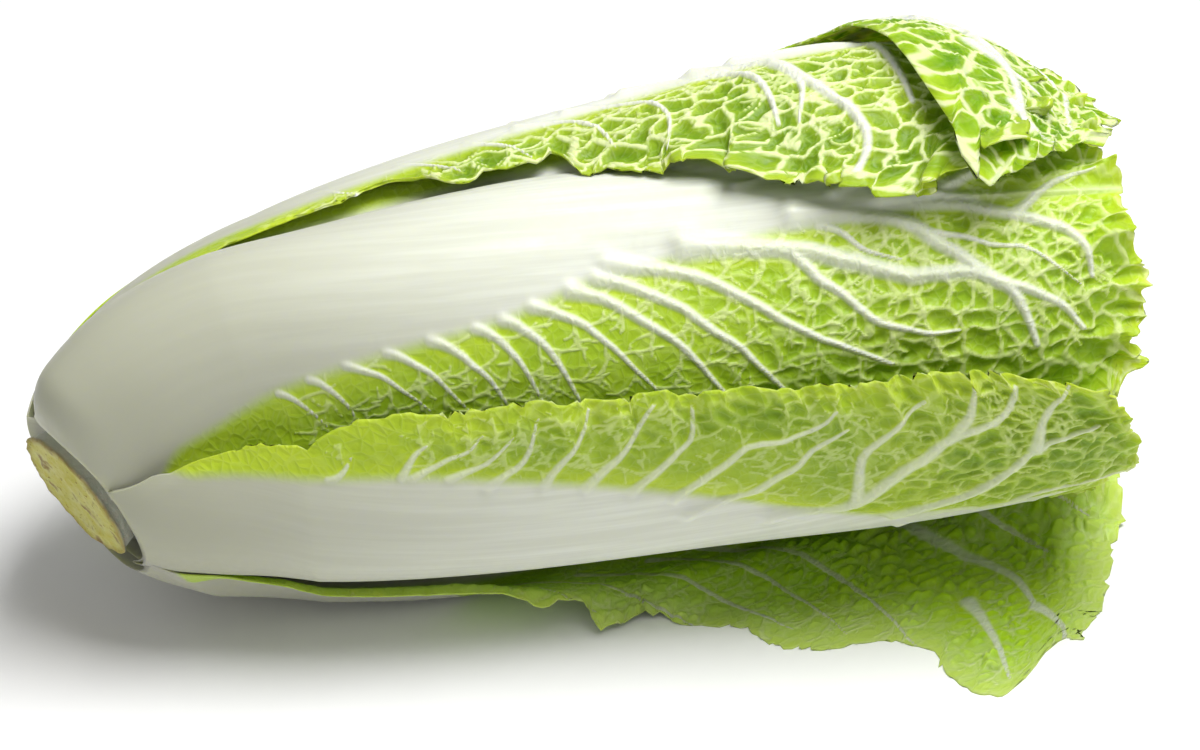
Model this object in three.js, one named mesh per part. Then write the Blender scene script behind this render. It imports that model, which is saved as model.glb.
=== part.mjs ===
// A head of napa cabbage, cut from its root and lying on its side: a core, and the leaves that wrap it in a spiral.
// Each leaf is one solid with a thick pale rib down its middle and a thin blade on both sides of it.
// Millimetres. +X runs from the cut butt to the leaf tips, -Y is the front, +Z is up, and the head lies on z = 0.
import * as THREE from "three";

const { degToRad, lerp, smoothstep, clamp } = THREE.MathUtils;

// Driving dimensions of the head, measured along and around its own straight axis.
const HEAD_LENGTH = 280; // from the lowest leaf's base to the longest tip
const CORE_RADIUS = 19.5; // where the outermost leaf leaves the core
const CORE_TOP_RADIUS = 6; // at the innermost leaf
const CORE_HEIGHT = 54; // from the outermost leaf's base to the innermost one's
const BUTT_LENGTH = 3.5; // of bare core below the lowest leaf, to the cut
const BELLY_RADIUS = 68; // where the leaves' insets are measured
const JOINT_GAP = 0.5; // between the core and the base of each leaf

// The outline of the head, by the share of the leaf's length: the distance along the axis, and the radius.
const PROFILE_AXIAL = through([
  [0, 0], [0.03, 3], [0.07, 11], [0.14, 30], [0.25, 62], [0.39, 103], [0.585, 159], [0.79, 219], [0.93, 261], [1, 280],
]);
const PROFILE_RADIUS = through([
  [0, 19.5], [0.03, 26], [0.07, 34.5], [0.14, 45], [0.25, 55], [0.39, 62], [0.585, 68], [0.79, 74], [0.93, 74], [1, 68],
]);

// The outline of one outer leaf, by the share of its length: half the width of its blade and of its rib.
const BLADE_HALF_WIDTH = through([
  [0, 20], [0.14, 33], [0.27, 36], [0.44, 47], [0.54, 56], [0.63, 70], [0.71, 82], [0.8, 88], [0.9, 88], [1, 80],
]);
const RIB_HALF_WIDTH = through([[0, 19], [0.14, 30], [0.25, 27], [0.4, 22], [0.58, 13], [0.79, 5], [1, 2]]);
const RIB_HEIGHT = through([[0, 1.8], [0.12, 5], [0.3, 6], [0.5, 5], [0.7, 2.6], [0.9, 1.2], [1, 0.8]]);
const TIP_ROUNDING = 0.06; // how much shorter the leaf is at its margins than at its rib
const RIB_SHARE = 0.85; // the most of a leaf's half that its rib can take
const LARGEST_WRAP = degToRad(150); // the most that either half of a leaf goes round the head

// How the head lies: its butt end bends down and forward, and its axis rises so that its flank is level.
const BUTT_BEND = degToRad(31);
const BEND_LENGTH = 60;
const BEND_TOWARDS = new THREE.Vector2(-0.89, -0.456); // in Y and Z
const AXIS_RISE = degToRad(5.8);
const AXIS_HEIGHT = 53.8; // of the straight axis above the table, at the outermost leaf's base
const CENTRE = new THREE.Vector2(140.4, -4.9); // of the box around the whole head, in X and Y

// The leaves, from the outermost in. Each next one turns back by the golden angle, and leans from there.
const GOLDEN_ANGLE = 137.5;
const FIRST_TURN = -75; // degrees from the front, upwards
const LEAN_AT = [0, 0.35, 0.7, 1]; // the shares of the leaf's length that the leans are given for, in degrees
const SIDE_AT = [0.2, 0.45, 0.7, 0.82, 0.92]; // and those that the two halves' widths are given for
const OUTER_LEAVES = [
  {
    name: "outer_leaf_underneath",
    base: 0,
    tip: 283,
    lean: [-12, -8, -19, -20],
    wrap: [36, 48],
    ahead: [0.9, 0.74, 0.69, 0.78, 1.08],
    behind: [0.8, 0.8, 0.75, 0.75, 0.75],
    spread: true,
    inset: 0,
    rounding: 0.12,
    ribWidth: 1.25,
  },
  {
    name: "outer_leaf_back_top",
    base: 1.6,
    tip: 288,
    lean: [34, 25, 8, -20],
    wrap: [28, 48],
    ahead: [0.85, 1, 1, 1, 1],
    behind: [0.8, 0.5, 0.32, 0.32, 1],
    inset: 3.5,
    ribHeight: 0.6,
  },
  {
    name: "outer_leaf_front_low",
    base: 1.3,
    tip: 281,
    lean: [-20, -39, -42, -41],
    wrap: [46, 44],
    ahead: [0.97, 1.05, 0.64, 0.58, 0.55],
    behind: [1, 1, 0.75, 0.65, 0.65],
    inset: 11.3,
    ribHeight: 0.8,
  },
  {
    name: "outer_leaf_back_low",
    base: 2.9,
    tip: 273,
    lean: [0, 0, 0, 0],
    wrap: [40, 46],
    ahead: [1, 0.8, 0.6, 0.5, 0.5],
    behind: [0.9, 0.8, 0.62, 0.62, 0.62],
    inset: 12.6,
    ribHeight: 0.5,
  },
  {
    name: "outer_leaf_top",
    base: 4.5,
    tip: 272,
    lean: [55, 29, 24, 21],
    wrap: [36, 26],
    ahead: [0.85, 0.85, 0.8, 0.8, 0.8],
    behind: [0.75, 0.58, 0.66, 0.8, 0.84],
    inset: 11.5,
    bulge: [0, 3, 4, 3, 0],
    ribHeight: 0.5,
  },
  {
    name: "wrapper_leaf_front_low",
    base: 5.8,
    tip: 266,
    lean: [0, 0, 0, 0],
    wrap: [54, 54],
    ahead: [1, 0.9, 0.7, 0.66, 0.66],
    behind: [1, 1, 1, 1, 1],
    inset: 16,
    ribHeight: 0.4,
  },
  {
    name: "wrapper_leaf_back",
    base: 7.1,
    tip: 276,
    lean: [6, 6, 6, 6],
    wrap: [54, 54],
    ahead: [1, 1, 1, 1, 1],
    behind: [1, 1, 0.9, 0.85, 0.85],
    inset: 19,
    ribHeight: 0.4,
  },
  {
    name: "wrapper_leaf_front_high",
    base: 3.4,
    tip: 284,
    bulge: [12, 6, 0, 0, 0],
    lean: [38, 21, 14, 7],
    wrap: [42, 62],
    ahead: [1.04, 1.22, 1, 1, 1],
    behind: [1.2, 1.2, 1, 1, 1],
    inset: 21,
  },
];
const OUTER_BLADE = 0.9;
const INNER_LEAVES = 14;
const INNER_INSETS = { first: 24, spacing: 2.65 };
const INNER_BASES = { first: 10.4, spacing: 3.2 };
const INNER_BLADE = 0.6;
const INNER_TIP = { first: 282, last: 250, sway: 5 };
const INNER_CLOSING = 0.4; // how much of its radius the innermost leaf loses towards its tip
const CLOSING_FROM = 0.72; // of a leaf's length
const INNER_WRAP = [54, 54];
const EVEN = [1, 1, 1, 1, 1];
const NO_LEAN = [0, 0, 0, 0];
const INNER_RIB = { width: 0.75, height: 0.4 }; // of the outer leaves' ribs
const FLAT = [0, 0, 0, 0, 0];

// The tips close over the heart a little, most of all from above.
const TIP_CLOSING = 0.25;
const CLOSES_FROM = 225;
const CLOSES_TO = 295;
const CLOSING_SIDE = degToRad(125);

// The underneath leaf's front half leaves the head at its rib and lies out on the table.
const SPREAD_FROM = 0.34;
const SPREAD_WHOLE = 0.52;
const SPREAD_EASE = 17; // how far it takes to come down to the table
const SPREAD_RISE = 0.45; // its slope where it leaves the rib

const OUTER_GRID = { along: 12, across: 12 };
const INNER_GRID = { along: 7, across: 12 };
const CORE_RINGS = 6;
const BASE_CROWDING = 1.35; // brings the grid's rows closer together at the leaf's base
const NORMAL_STEP = 0.004;

/** A smooth function through the points [at, value]. */
function through(points) {
  const slope = (i) => {
    const [before, after] = [points[Math.max(i - 1, 0)], points[Math.min(i + 1, points.length - 1)]];
    return (after[1] - before[1]) / (after[0] - before[0]);
  };
  return (at) => {
    let i = 0;
    while (i < points.length - 2 && at > points[i + 1][0]) i++;
    const [[x0, y0], [x1, y1]] = [points[i], points[i + 1]];
    const w = x1 - x0;
    const u = clamp((at - x0) / w, 0, 1);
    const [u2, u3] = [u * u, u * u * u];
    const ends = (2 * u3 - 3 * u2 + 1) * y0 + (3 * u2 - 2 * u3) * y1;
    return ends + w * ((u3 - 2 * u2 + u) * slope(i) + (u3 - u2) * slope(i + 1));
  };
}

/** A smooth function through values at the given shares of a leaf's length. */
const alongLeaf = (at, values) => through(at.map((share, i) => [share, values[i]]));

/** Everything that sets one leaf apart, from its place in the spiral. */
function leafAt(order) {
  const isOuter = order < OUTER_LEAVES.length;
  const deeper = order - OUTER_LEAVES.length;
  const inner = {
    name: `inner_leaf_${String(order + 1).padStart(2, "0")}`,
    base: INNER_BASES.first + deeper * INNER_BASES.spacing,
    inset: INNER_INSETS.first + deeper * INNER_INSETS.spacing,
    tip: lerp(INNER_TIP.first, INNER_TIP.last, deeper / (INNER_LEAVES - 1)) + INNER_TIP.sway * Math.sin(order),
    lean: NO_LEAN,
    wrap: INNER_WRAP,
    ahead: EVEN,
    behind: EVEN,
  };
  const own = isOuter ? OUTER_LEAVES[order] : inner;
  const turn = FIRST_TURN - GOLDEN_ANGLE * order;
  const coreRadius = lerp(CORE_RADIUS, CORE_TOP_RADIUS, own.base / CORE_HEIGHT);
  return {
    name: own.name,
    turn: alongLeaf(LEAN_AT, own.lean.map((lean) => degToRad(turn + lean))),
    base: own.base,
    tip: own.tip,
    coreRadius,
    swell: (BELLY_RADIUS - own.inset - coreRadius) / (BELLY_RADIUS - CORE_RADIUS),
    width: (BELLY_RADIUS - 0.7 * own.inset) / BELLY_RADIUS,
    wrap: own.wrap.map(degToRad),
    sides: [alongLeaf(SIDE_AT, own.ahead), alongLeaf(SIDE_AT, own.behind)],
    rounding: own.rounding ?? TIP_ROUNDING,
    bulge: alongLeaf(SIDE_AT, own.bulge ?? FLAT),
    spread: own.spread ?? false,
    closing: isOuter ? 0 : (INNER_CLOSING * deeper) / (INNER_LEAVES - 1),
    blade: isOuter ? OUTER_BLADE : INNER_BLADE,
    rib: isOuter ? { width: own.ribWidth ?? 1, height: own.ribHeight ?? 1 } : INNER_RIB,
    grid: isOuter ? OUTER_GRID : INNER_GRID,
  };
}

/** Distance along the axis and radius of a leaf's inner face, at a share of its length. */
function onLayer(leaf, share) {
  return new THREE.Vector2(
    lerp(leaf.base, leaf.tip, PROFILE_AXIAL(share) / HEAD_LENGTH),
    leaf.coreRadius + (PROFILE_RADIUS(share) - CORE_RADIUS) * leaf.swell,
  );
}

/** Bends the butt end and lays the head down: from its straight axis to the table. */
function layDown(axial, sideways, up) {
  const turned = BUTT_BEND * Math.max(1 - axial / BEND_LENGTH, 0);
  const arc = BEND_LENGTH / BUTT_BEND;
  const along = sideways * BEND_TOWARDS.x + up * BEND_TOWARDS.y;
  const across = sideways * -BEND_TOWARDS.y + up * BEND_TOWARDS.x;
  const bent = turned > 0;
  const x = (bent ? BEND_LENGTH - arc * Math.sin(turned) : axial) + along * Math.sin(turned);
  const reach = arc * (1 - Math.cos(turned)) + along * Math.cos(turned);
  const y = BEND_TOWARDS.x * reach - BEND_TOWARDS.y * across;
  const z = BEND_TOWARDS.y * reach + BEND_TOWARDS.x * across;
  const [cos, sin] = [Math.cos(AXIS_RISE), Math.sin(AXIS_RISE)];
  return new THREE.Vector3(x * cos - z * sin - CENTRE.x, y - CENTRE.y, x * sin + z * cos + AXIS_HEIGHT);
}

/** Half the leaf's width on the side of v, in millimetres. */
function halfWidth(leaf, t, v) {
  const side = v > 0 ? 0 : 1;
  const grown = BLADE_HALF_WIDTH(t) * leaf.width * leaf.sides[side](t);
  const held = leaf.wrap[side] * leaf.coreRadius;
  return Math.min(lerp(held, grown, smoothstep(t, 0, 0.13)), LARGEST_WRAP * onLayer(leaf, t).y);
}

/** How much of its full height the rib has at this point of the leaf: 1 along its middle, 0 beside it. */
function ribShare(leaf, t, v) {
  const half = halfWidth(leaf, t, v);
  const ribHalf = Math.min(RIB_HALF_WIDTH(t) * leaf.rib.width * leaf.width, RIB_SHARE * half);
  return Math.max(1 - ((v * half) / ribHalf) ** 2, 0) ** 1.5;
}

/** A point lift millimetres outside the leaf's inner face; v is -1 and 1 at its two margins, 0 at its rib. */
function wrapped(leaf, t, v, lift) {
  const share = t * (1 - leaf.rounding * v * v * t * t);
  const here = onLayer(leaf, share);
  const before = onLayer(leaf, Math.max(share - NORMAL_STEP, 0));
  const after = onLayer(leaf, Math.min(share + NORMAL_STEP, 1));
  const along = after.sub(before).normalize();
  const bulge = leaf.bulge(t) * smoothstep(t, 0, 0.07) * (1 - v * v) ** 2;
  const turn = leaf.turn(t) + (v * halfWidth(leaf, t, v)) / here.y;
  const axial = here.x - along.y * (lift + bulge);
  const above = Math.max(Math.cos(turn - CLOSING_SIDE), 0);
  const lowered = 1 - TIP_CLOSING * smoothstep(axial, CLOSES_FROM, CLOSES_TO) * above;
  const closed = 1 - leaf.closing * smoothstep(t, CLOSING_FROM, 1);
  const radius = (here.y + along.x * (lift + bulge)) * lowered * closed;
  return layDown(axial, -radius * Math.cos(turn), radius * Math.sin(turn));
}

/** The same point on a leaf whose front half lies out on the table. */
function spreadOut(leaf, t, v, lift, place) {
  const reach = halfWidth(leaf, t, v);
  const ribEdge = RIB_HALF_WIDTH(t);
  const out = v * reach - ribEdge;
  const share = smoothstep(t, SPREAD_FROM, SPREAD_WHOLE) * smoothstep(out, 0, SPREAD_EASE);
  if (share <= 0) return place;
  const edge = wrapped(leaf, t, ribEdge / reach, 0);
  const height = (Math.max(edge.z, 0) + SPREAD_RISE * out) * Math.exp(-((out / SPREAD_EASE) ** 2));
  const lying = new THREE.Vector3(place.x, edge.y - out, height + leaf.blade - lift);
  return place.lerp(lying, share);
}

/** The finished place of a point of a leaf. Nothing reaches below the table, and what rests on it is flat. */
function leafPoint(leaf, t, v, lift) {
  const place = wrapped(leaf, t, v, lift);
  const moved = leaf.spread && v > 0 ? spreadOut(leaf, t, v, lift, place) : place;
  const floor = lift > 0 ? 0 : leaf.blade;
  return moved.setZ(Math.max(moved.z, floor));
}

/** The rib stands out of the leaf's outer face as a low round ridge. */
function thickness(leaf, t, v) {
  return leaf.blade + RIB_HEIGHT(t) * leaf.rib.height * ribShare(leaf, t, v);
}

/** A closed shell: a grid of points on the inner face, one on the outer face, and the rim that joins them. */
function leafGeometry(leaf) {
  const { along, across } = leaf.grid;
  const points = [];
  for (const isOuter of [false, true]) {
    for (let i = 0; i <= along; i++) {
      const t = (i / along) ** BASE_CROWDING;
      for (let j = 0; j <= across; j++) {
        const v = (2 * j) / across - 1;
        points.push(leafPoint(leaf, t, v, isOuter ? thickness(leaf, t, v) : 0));
      }
    }
  }
  const row = across + 1;
  const outside = row * (along + 1);
  const faces = [];
  const quad = (a, b, c, d) => faces.push(a, b, c, a, c, d);
  for (let i = 0; i < along; i++) {
    for (let j = 0; j < across; j++) {
      const a = i * row + j;
      quad(a, a + 1, a + row + 1, a + row);
      quad(outside + a, outside + a + row, outside + a + row + 1, outside + a + 1);
    }
    const [left, right] = [i * row, i * row + across];
    quad(left, left + row, outside + left + row, outside + left);
    quad(right, outside + right, outside + right + row, right + row);
  }
  for (let j = 0; j < across; j++) {
    const tip = along * row + j;
    quad(j, outside + j, outside + j + 1, j + 1);
    quad(tip, tip + 1, outside + tip + 1, outside + tip);
  }
  return new THREE.BufferGeometry().setFromPoints(points).setIndex(faces);
}

/** The core: a short bare butt with a flat cut face, and above it the cone that the leaves grow from. */
function coreGeometry() {
  const butt = CORE_RADIUS - JOINT_GAP;
  const profile = [
    new THREE.Vector2(0, -BUTT_LENGTH),
    new THREE.Vector2(butt - 1.5, -BUTT_LENGTH),
    new THREE.Vector2(butt, -BUTT_LENGTH + 1.5),
  ];
  for (let i = 0; i <= CORE_RINGS; i++) {
    const up = i / CORE_RINGS;
    profile.push(new THREE.Vector2(lerp(CORE_RADIUS, CORE_TOP_RADIUS, up) - JOINT_GAP, CORE_HEIGHT * up));
  }
  profile.push(new THREE.Vector2(0, CORE_HEIGHT + CORE_TOP_RADIUS));
  const lathe = new THREE.LatheGeometry(profile, 24);
  const place = lathe.getAttribute("position");
  for (let i = 0; i < place.count; i++) {
    const bent = layDown(place.getY(i), place.getZ(i), place.getX(i));
    place.setXYZ(i, bent.x, bent.y, bent.z);
  }
  return lathe;
}

const MATERIALS = {
  core: new THREE.MeshStandardMaterial({ name: "core", color: 0xc9c487, roughness: 0.75 }),
  outer: new THREE.MeshStandardMaterial({ name: "outer_leaf", color: 0x9fbf4a, roughness: 0.5 }),
  inner: new THREE.MeshStandardMaterial({ name: "inner_leaf", color: 0xd9de8a, roughness: 0.5 }),
};

function named(name, geometry, material) {
  const mesh = new THREE.Mesh(geometry, material);
  mesh.name = name;
  return mesh;
}

const head = new THREE.Group();
head.add(named("core", coreGeometry(), MATERIALS.core));
for (let order = 0; order < OUTER_LEAVES.length + INNER_LEAVES; order++) {
  const leaf = leafAt(order);
  head.add(named(leaf.name, leafGeometry(leaf), order < OUTER_LEAVES.length ? MATERIALS.outer : MATERIALS.inner));
}

export default head;
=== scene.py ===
"""A head of napa cabbage on a pale floor, dressed over its CAD frame.

Each leaf is built again on the surface of its own CAD solid, with its rib, veins, net, pockets,
frilled margin and colours. The core gets its cut face. Everything is an operator of one small add-on.
"""

import math

import bpy
import numpy as np
from bpy.props import FloatProperty, FloatVectorProperty, PointerProperty
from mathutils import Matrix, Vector


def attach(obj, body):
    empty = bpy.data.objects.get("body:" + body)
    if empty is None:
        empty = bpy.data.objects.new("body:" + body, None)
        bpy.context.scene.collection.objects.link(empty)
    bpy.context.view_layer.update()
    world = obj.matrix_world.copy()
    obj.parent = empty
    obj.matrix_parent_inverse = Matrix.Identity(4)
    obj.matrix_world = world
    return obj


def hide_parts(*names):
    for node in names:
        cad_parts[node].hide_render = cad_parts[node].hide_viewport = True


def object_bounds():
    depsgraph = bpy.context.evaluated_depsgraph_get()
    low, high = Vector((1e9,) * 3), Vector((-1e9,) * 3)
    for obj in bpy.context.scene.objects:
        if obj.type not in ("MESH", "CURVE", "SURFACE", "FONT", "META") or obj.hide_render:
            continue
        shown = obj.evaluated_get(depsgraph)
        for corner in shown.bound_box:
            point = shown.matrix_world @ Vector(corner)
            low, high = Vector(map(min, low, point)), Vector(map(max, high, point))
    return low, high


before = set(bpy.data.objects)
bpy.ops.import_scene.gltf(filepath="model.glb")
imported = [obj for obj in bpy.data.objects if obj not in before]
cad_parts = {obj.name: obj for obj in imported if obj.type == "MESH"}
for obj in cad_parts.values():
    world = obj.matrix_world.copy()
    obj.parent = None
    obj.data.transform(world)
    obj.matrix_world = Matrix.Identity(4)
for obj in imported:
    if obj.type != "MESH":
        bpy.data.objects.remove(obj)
CAD_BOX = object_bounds()

bl_info = {
    "name": "Napa Cabbage",
    "version": (1, 0, 0),
    "blender": (4, 5, 0),
    "location": "View3D > Sidebar > Cabbage",
    "description": "Dresses the frame of a napa cabbage with veined leaves and a cut butt",
    "category": "Object",
}

MM = 0.001

# The camera stands where the head is seen from its front, a little towards its butt, and from above.
CAMERA_AZIMUTH = -10.0
CAMERA_ELEVATION = 35.0
CAMERA_LENS = 129.7
CAMERA_SENSOR = 36.0
CAMERA_ASIDE = 0.0032
CAMERA_BELOW = 0.0104
KEY_PLACE = (0.3, -0.12, 1.15)
KEY_SIZE = (0.8, 0.6)
FILL_PLACE = (-0.3, -1.3, 0.7)
FILL_SIZE = (1.4, 1.0)

# ---------------------------------------------------------------------------
# The head's shape, in millimetres, along and around its own straight axis.
# These are the CAD's own values, so that every leaf lies where its solid lies.
# ---------------------------------------------------------------------------
HEAD_LENGTH = 280.0
CORE_RADIUS = 19.5
CORE_TOP_RADIUS = 6.0
CORE_HEIGHT = 54.0
BELLY_RADIUS = 68.0
CLEARANCE = 1.0  # between the core and the leaves round it
PROFILE_AXIAL = ((0, 0), (0.03, 3), (0.07, 11), (0.14, 30), (0.25, 62), (0.39, 103), (0.585, 159),
                 (0.79, 219), (0.93, 261), (1, 280))
PROFILE_RADIUS = ((0, 19.5), (0.03, 26), (0.07, 34.5), (0.14, 45), (0.25, 55), (0.39, 62), (0.585, 68),
                  (0.79, 74), (0.93, 74), (1, 68))
BLADE_HALF_WIDTH = ((0, 20), (0.14, 33), (0.27, 36), (0.44, 47), (0.54, 56), (0.63, 70), (0.71, 82),
                    (0.8, 88), (0.9, 88), (1, 80))
RIB_HALF_WIDTH = ((0, 19), (0.14, 30), (0.25, 27), (0.4, 22), (0.58, 13), (0.79, 5), (1, 2))
RIB_HEIGHT = ((0, 1.8), (0.12, 5), (0.3, 6), (0.5, 5), (0.7, 2.6), (0.9, 1.2), (1, 0.8))
TIP_ROUNDING = 0.06
RIB_SHARE = 0.85
LARGEST_WRAP = math.radians(150)

BUTT_BEND = math.radians(31)
BEND_LENGTH = 60.0
BEND_TOWARDS = (-0.89, -0.456)
AXIS_RISE = math.radians(5.8)
AXIS_HEIGHT = 53.8
CENTRE = (140.4, -4.9)

GOLDEN_ANGLE = 137.5
FIRST_TURN = -75.0
LEAN_AT = (0, 0.35, 0.7, 1)
SIDE_AT = (0.2, 0.45, 0.7, 0.82, 0.92)
FLAT = (0, 0, 0, 0, 0)
EVEN = (1, 1, 1, 1, 1)
# name, base, tip, inset, lean, wrap, widths ahead, widths behind, and what else sets the leaf apart
OUTER_LEAVES = (
    ("outer_leaf_underneath", 0, 283, 0, (-12, -8, -19, -20), (36, 48),
     (0.9, 0.74, 0.69, 0.78, 1.08), (0.8, 0.8, 0.75, 0.75, 0.75),
     {"spread": True, "rounding": 0.12, "rib_width": 1.25}),
    ("outer_leaf_back_top", 1.6, 288, 3.5, (34, 25, 8, -20), (28, 48),
     (0.85, 1, 1, 1, 1), (0.8, 0.5, 0.32, 0.32, 1), {"rib_height": 0.6}),
    ("outer_leaf_front_low", 1.3, 281, 11.3, (-20, -39, -42, -41), (46, 44),
     (0.97, 1.05, 0.64, 0.58, 0.55), (1, 1, 0.75, 0.65, 0.65), {"rib_height": 0.8}),
    ("outer_leaf_back_low", 2.9, 273, 12.6, (0, 0, 0, 0), (40, 46),
     (1, 0.8, 0.6, 0.5, 0.5), (0.9, 0.8, 0.62, 0.62, 0.62), {"rib_height": 0.5}),
    ("outer_leaf_top", 4.5, 272, 11.5, (55, 29, 24, 21), (36, 26),
     (0.85, 0.85, 0.8, 0.8, 0.8), (0.75, 0.58, 0.66, 0.8, 0.84),
     {"bulge": (0, 3, 4, 3, 0), "rib_height": 0.5}),
    ("wrapper_leaf_front_low", 5.8, 266, 16, (0, 0, 0, 0), (54, 54),
     (1, 0.9, 0.7, 0.66, 0.66), EVEN, {"rib_height": 0.4}),
    ("wrapper_leaf_back", 7.1, 276, 19, (6, 6, 6, 6), (54, 54),
     EVEN, (1, 1, 0.9, 0.85, 0.85), {"rib_height": 0.4}),
    ("wrapper_leaf_front_high", 3.4, 284, 21, (38, 21, 14, 7), (42, 62),
     (1.04, 1.22, 1, 1, 1), (1.2, 1.2, 1, 1, 1), {"bulge": (12, 6, 0, 0, 0)}),
)
OUTER_BLADE = 0.9
INNER_LEAVES = 14
INNER_BASE = (10.4, 3.2)
INNER_INSET = (24.0, 2.65)
INNER_BLADE = 0.6
INNER_TIP = (282.0, 250.0, 5.0)
INNER_CLOSING = 0.4
CLOSING_FROM = 0.72
INNER_WRAP = (54, 54)
INNER_RIB = (0.75, 0.4)
TIP_CLOSING = 0.25
CLOSES_FROM = 225.0
CLOSES_TO = 295.0
CLOSING_SIDE = math.radians(125)
SPREAD_FROM = 0.34
SPREAD_WHOLE = 0.52
SPREAD_EASE = 17.0
SPREAD_RISE = 0.45
NORMAL_STEP = 0.004


def through(points):
    """A smooth function of an array, through the points (at, value)."""
    at = np.array([p[0] for p in points], float)
    value = np.array([p[1] for p in points], float)
    last = len(points) - 1
    near, far = np.maximum(np.arange(last + 1) - 1, 0), np.minimum(np.arange(last + 1) + 1, last)
    slope = (value[far] - value[near]) / (at[far] - at[near])

    def smooth(x):
        i = np.clip(np.searchsorted(at, x, side="left") - 1, 0, last - 1)
        width = at[i + 1] - at[i]
        u = np.clip((x - at[i]) / width, 0, 1)
        u2, u3 = u * u, u * u * u
        ends = (2 * u3 - 3 * u2 + 1) * value[i] + (3 * u2 - 2 * u3) * value[i + 1]
        return ends + width * ((u3 - 2 * u2 + u) * slope[i] + (u3 - u2) * slope[i + 1])

    return smooth


def smoothstep(x, low, high):
    u = np.clip((x - low) / (high - low), 0, 1)
    return u * u * (3 - 2 * u)


def lerp(a, b, share):
    return a + (b - a) * share


profile_axial, profile_radius = through(PROFILE_AXIAL), through(PROFILE_RADIUS)
blade_half_width, rib_half_width = through(BLADE_HALF_WIDTH), through(RIB_HALF_WIDTH)
rib_height = through(RIB_HEIGHT)


def lay_down(axial, sideways, up):
    """Bends the butt end and lays the head down: from its straight axis to the table."""
    turned = BUTT_BEND * np.maximum(1 - axial / BEND_LENGTH, 0)
    arc = BEND_LENGTH / BUTT_BEND
    mx, my = BEND_TOWARDS
    along = sideways * mx + up * my
    across = sideways * -my + up * mx
    straight = np.where(turned > 0, BEND_LENGTH - arc * np.sin(turned), axial)
    x = straight + along * np.sin(turned)
    reach = arc * (1 - np.cos(turned)) + along * np.cos(turned)
    y = mx * reach - my * across
    z = my * reach + mx * across
    cos, sin = math.cos(AXIS_RISE), math.sin(AXIS_RISE)
    return np.stack([x * cos - z * sin - CENTRE[0], y - CENTRE[1], x * sin + z * cos + AXIS_HEIGHT], -1)


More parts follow.
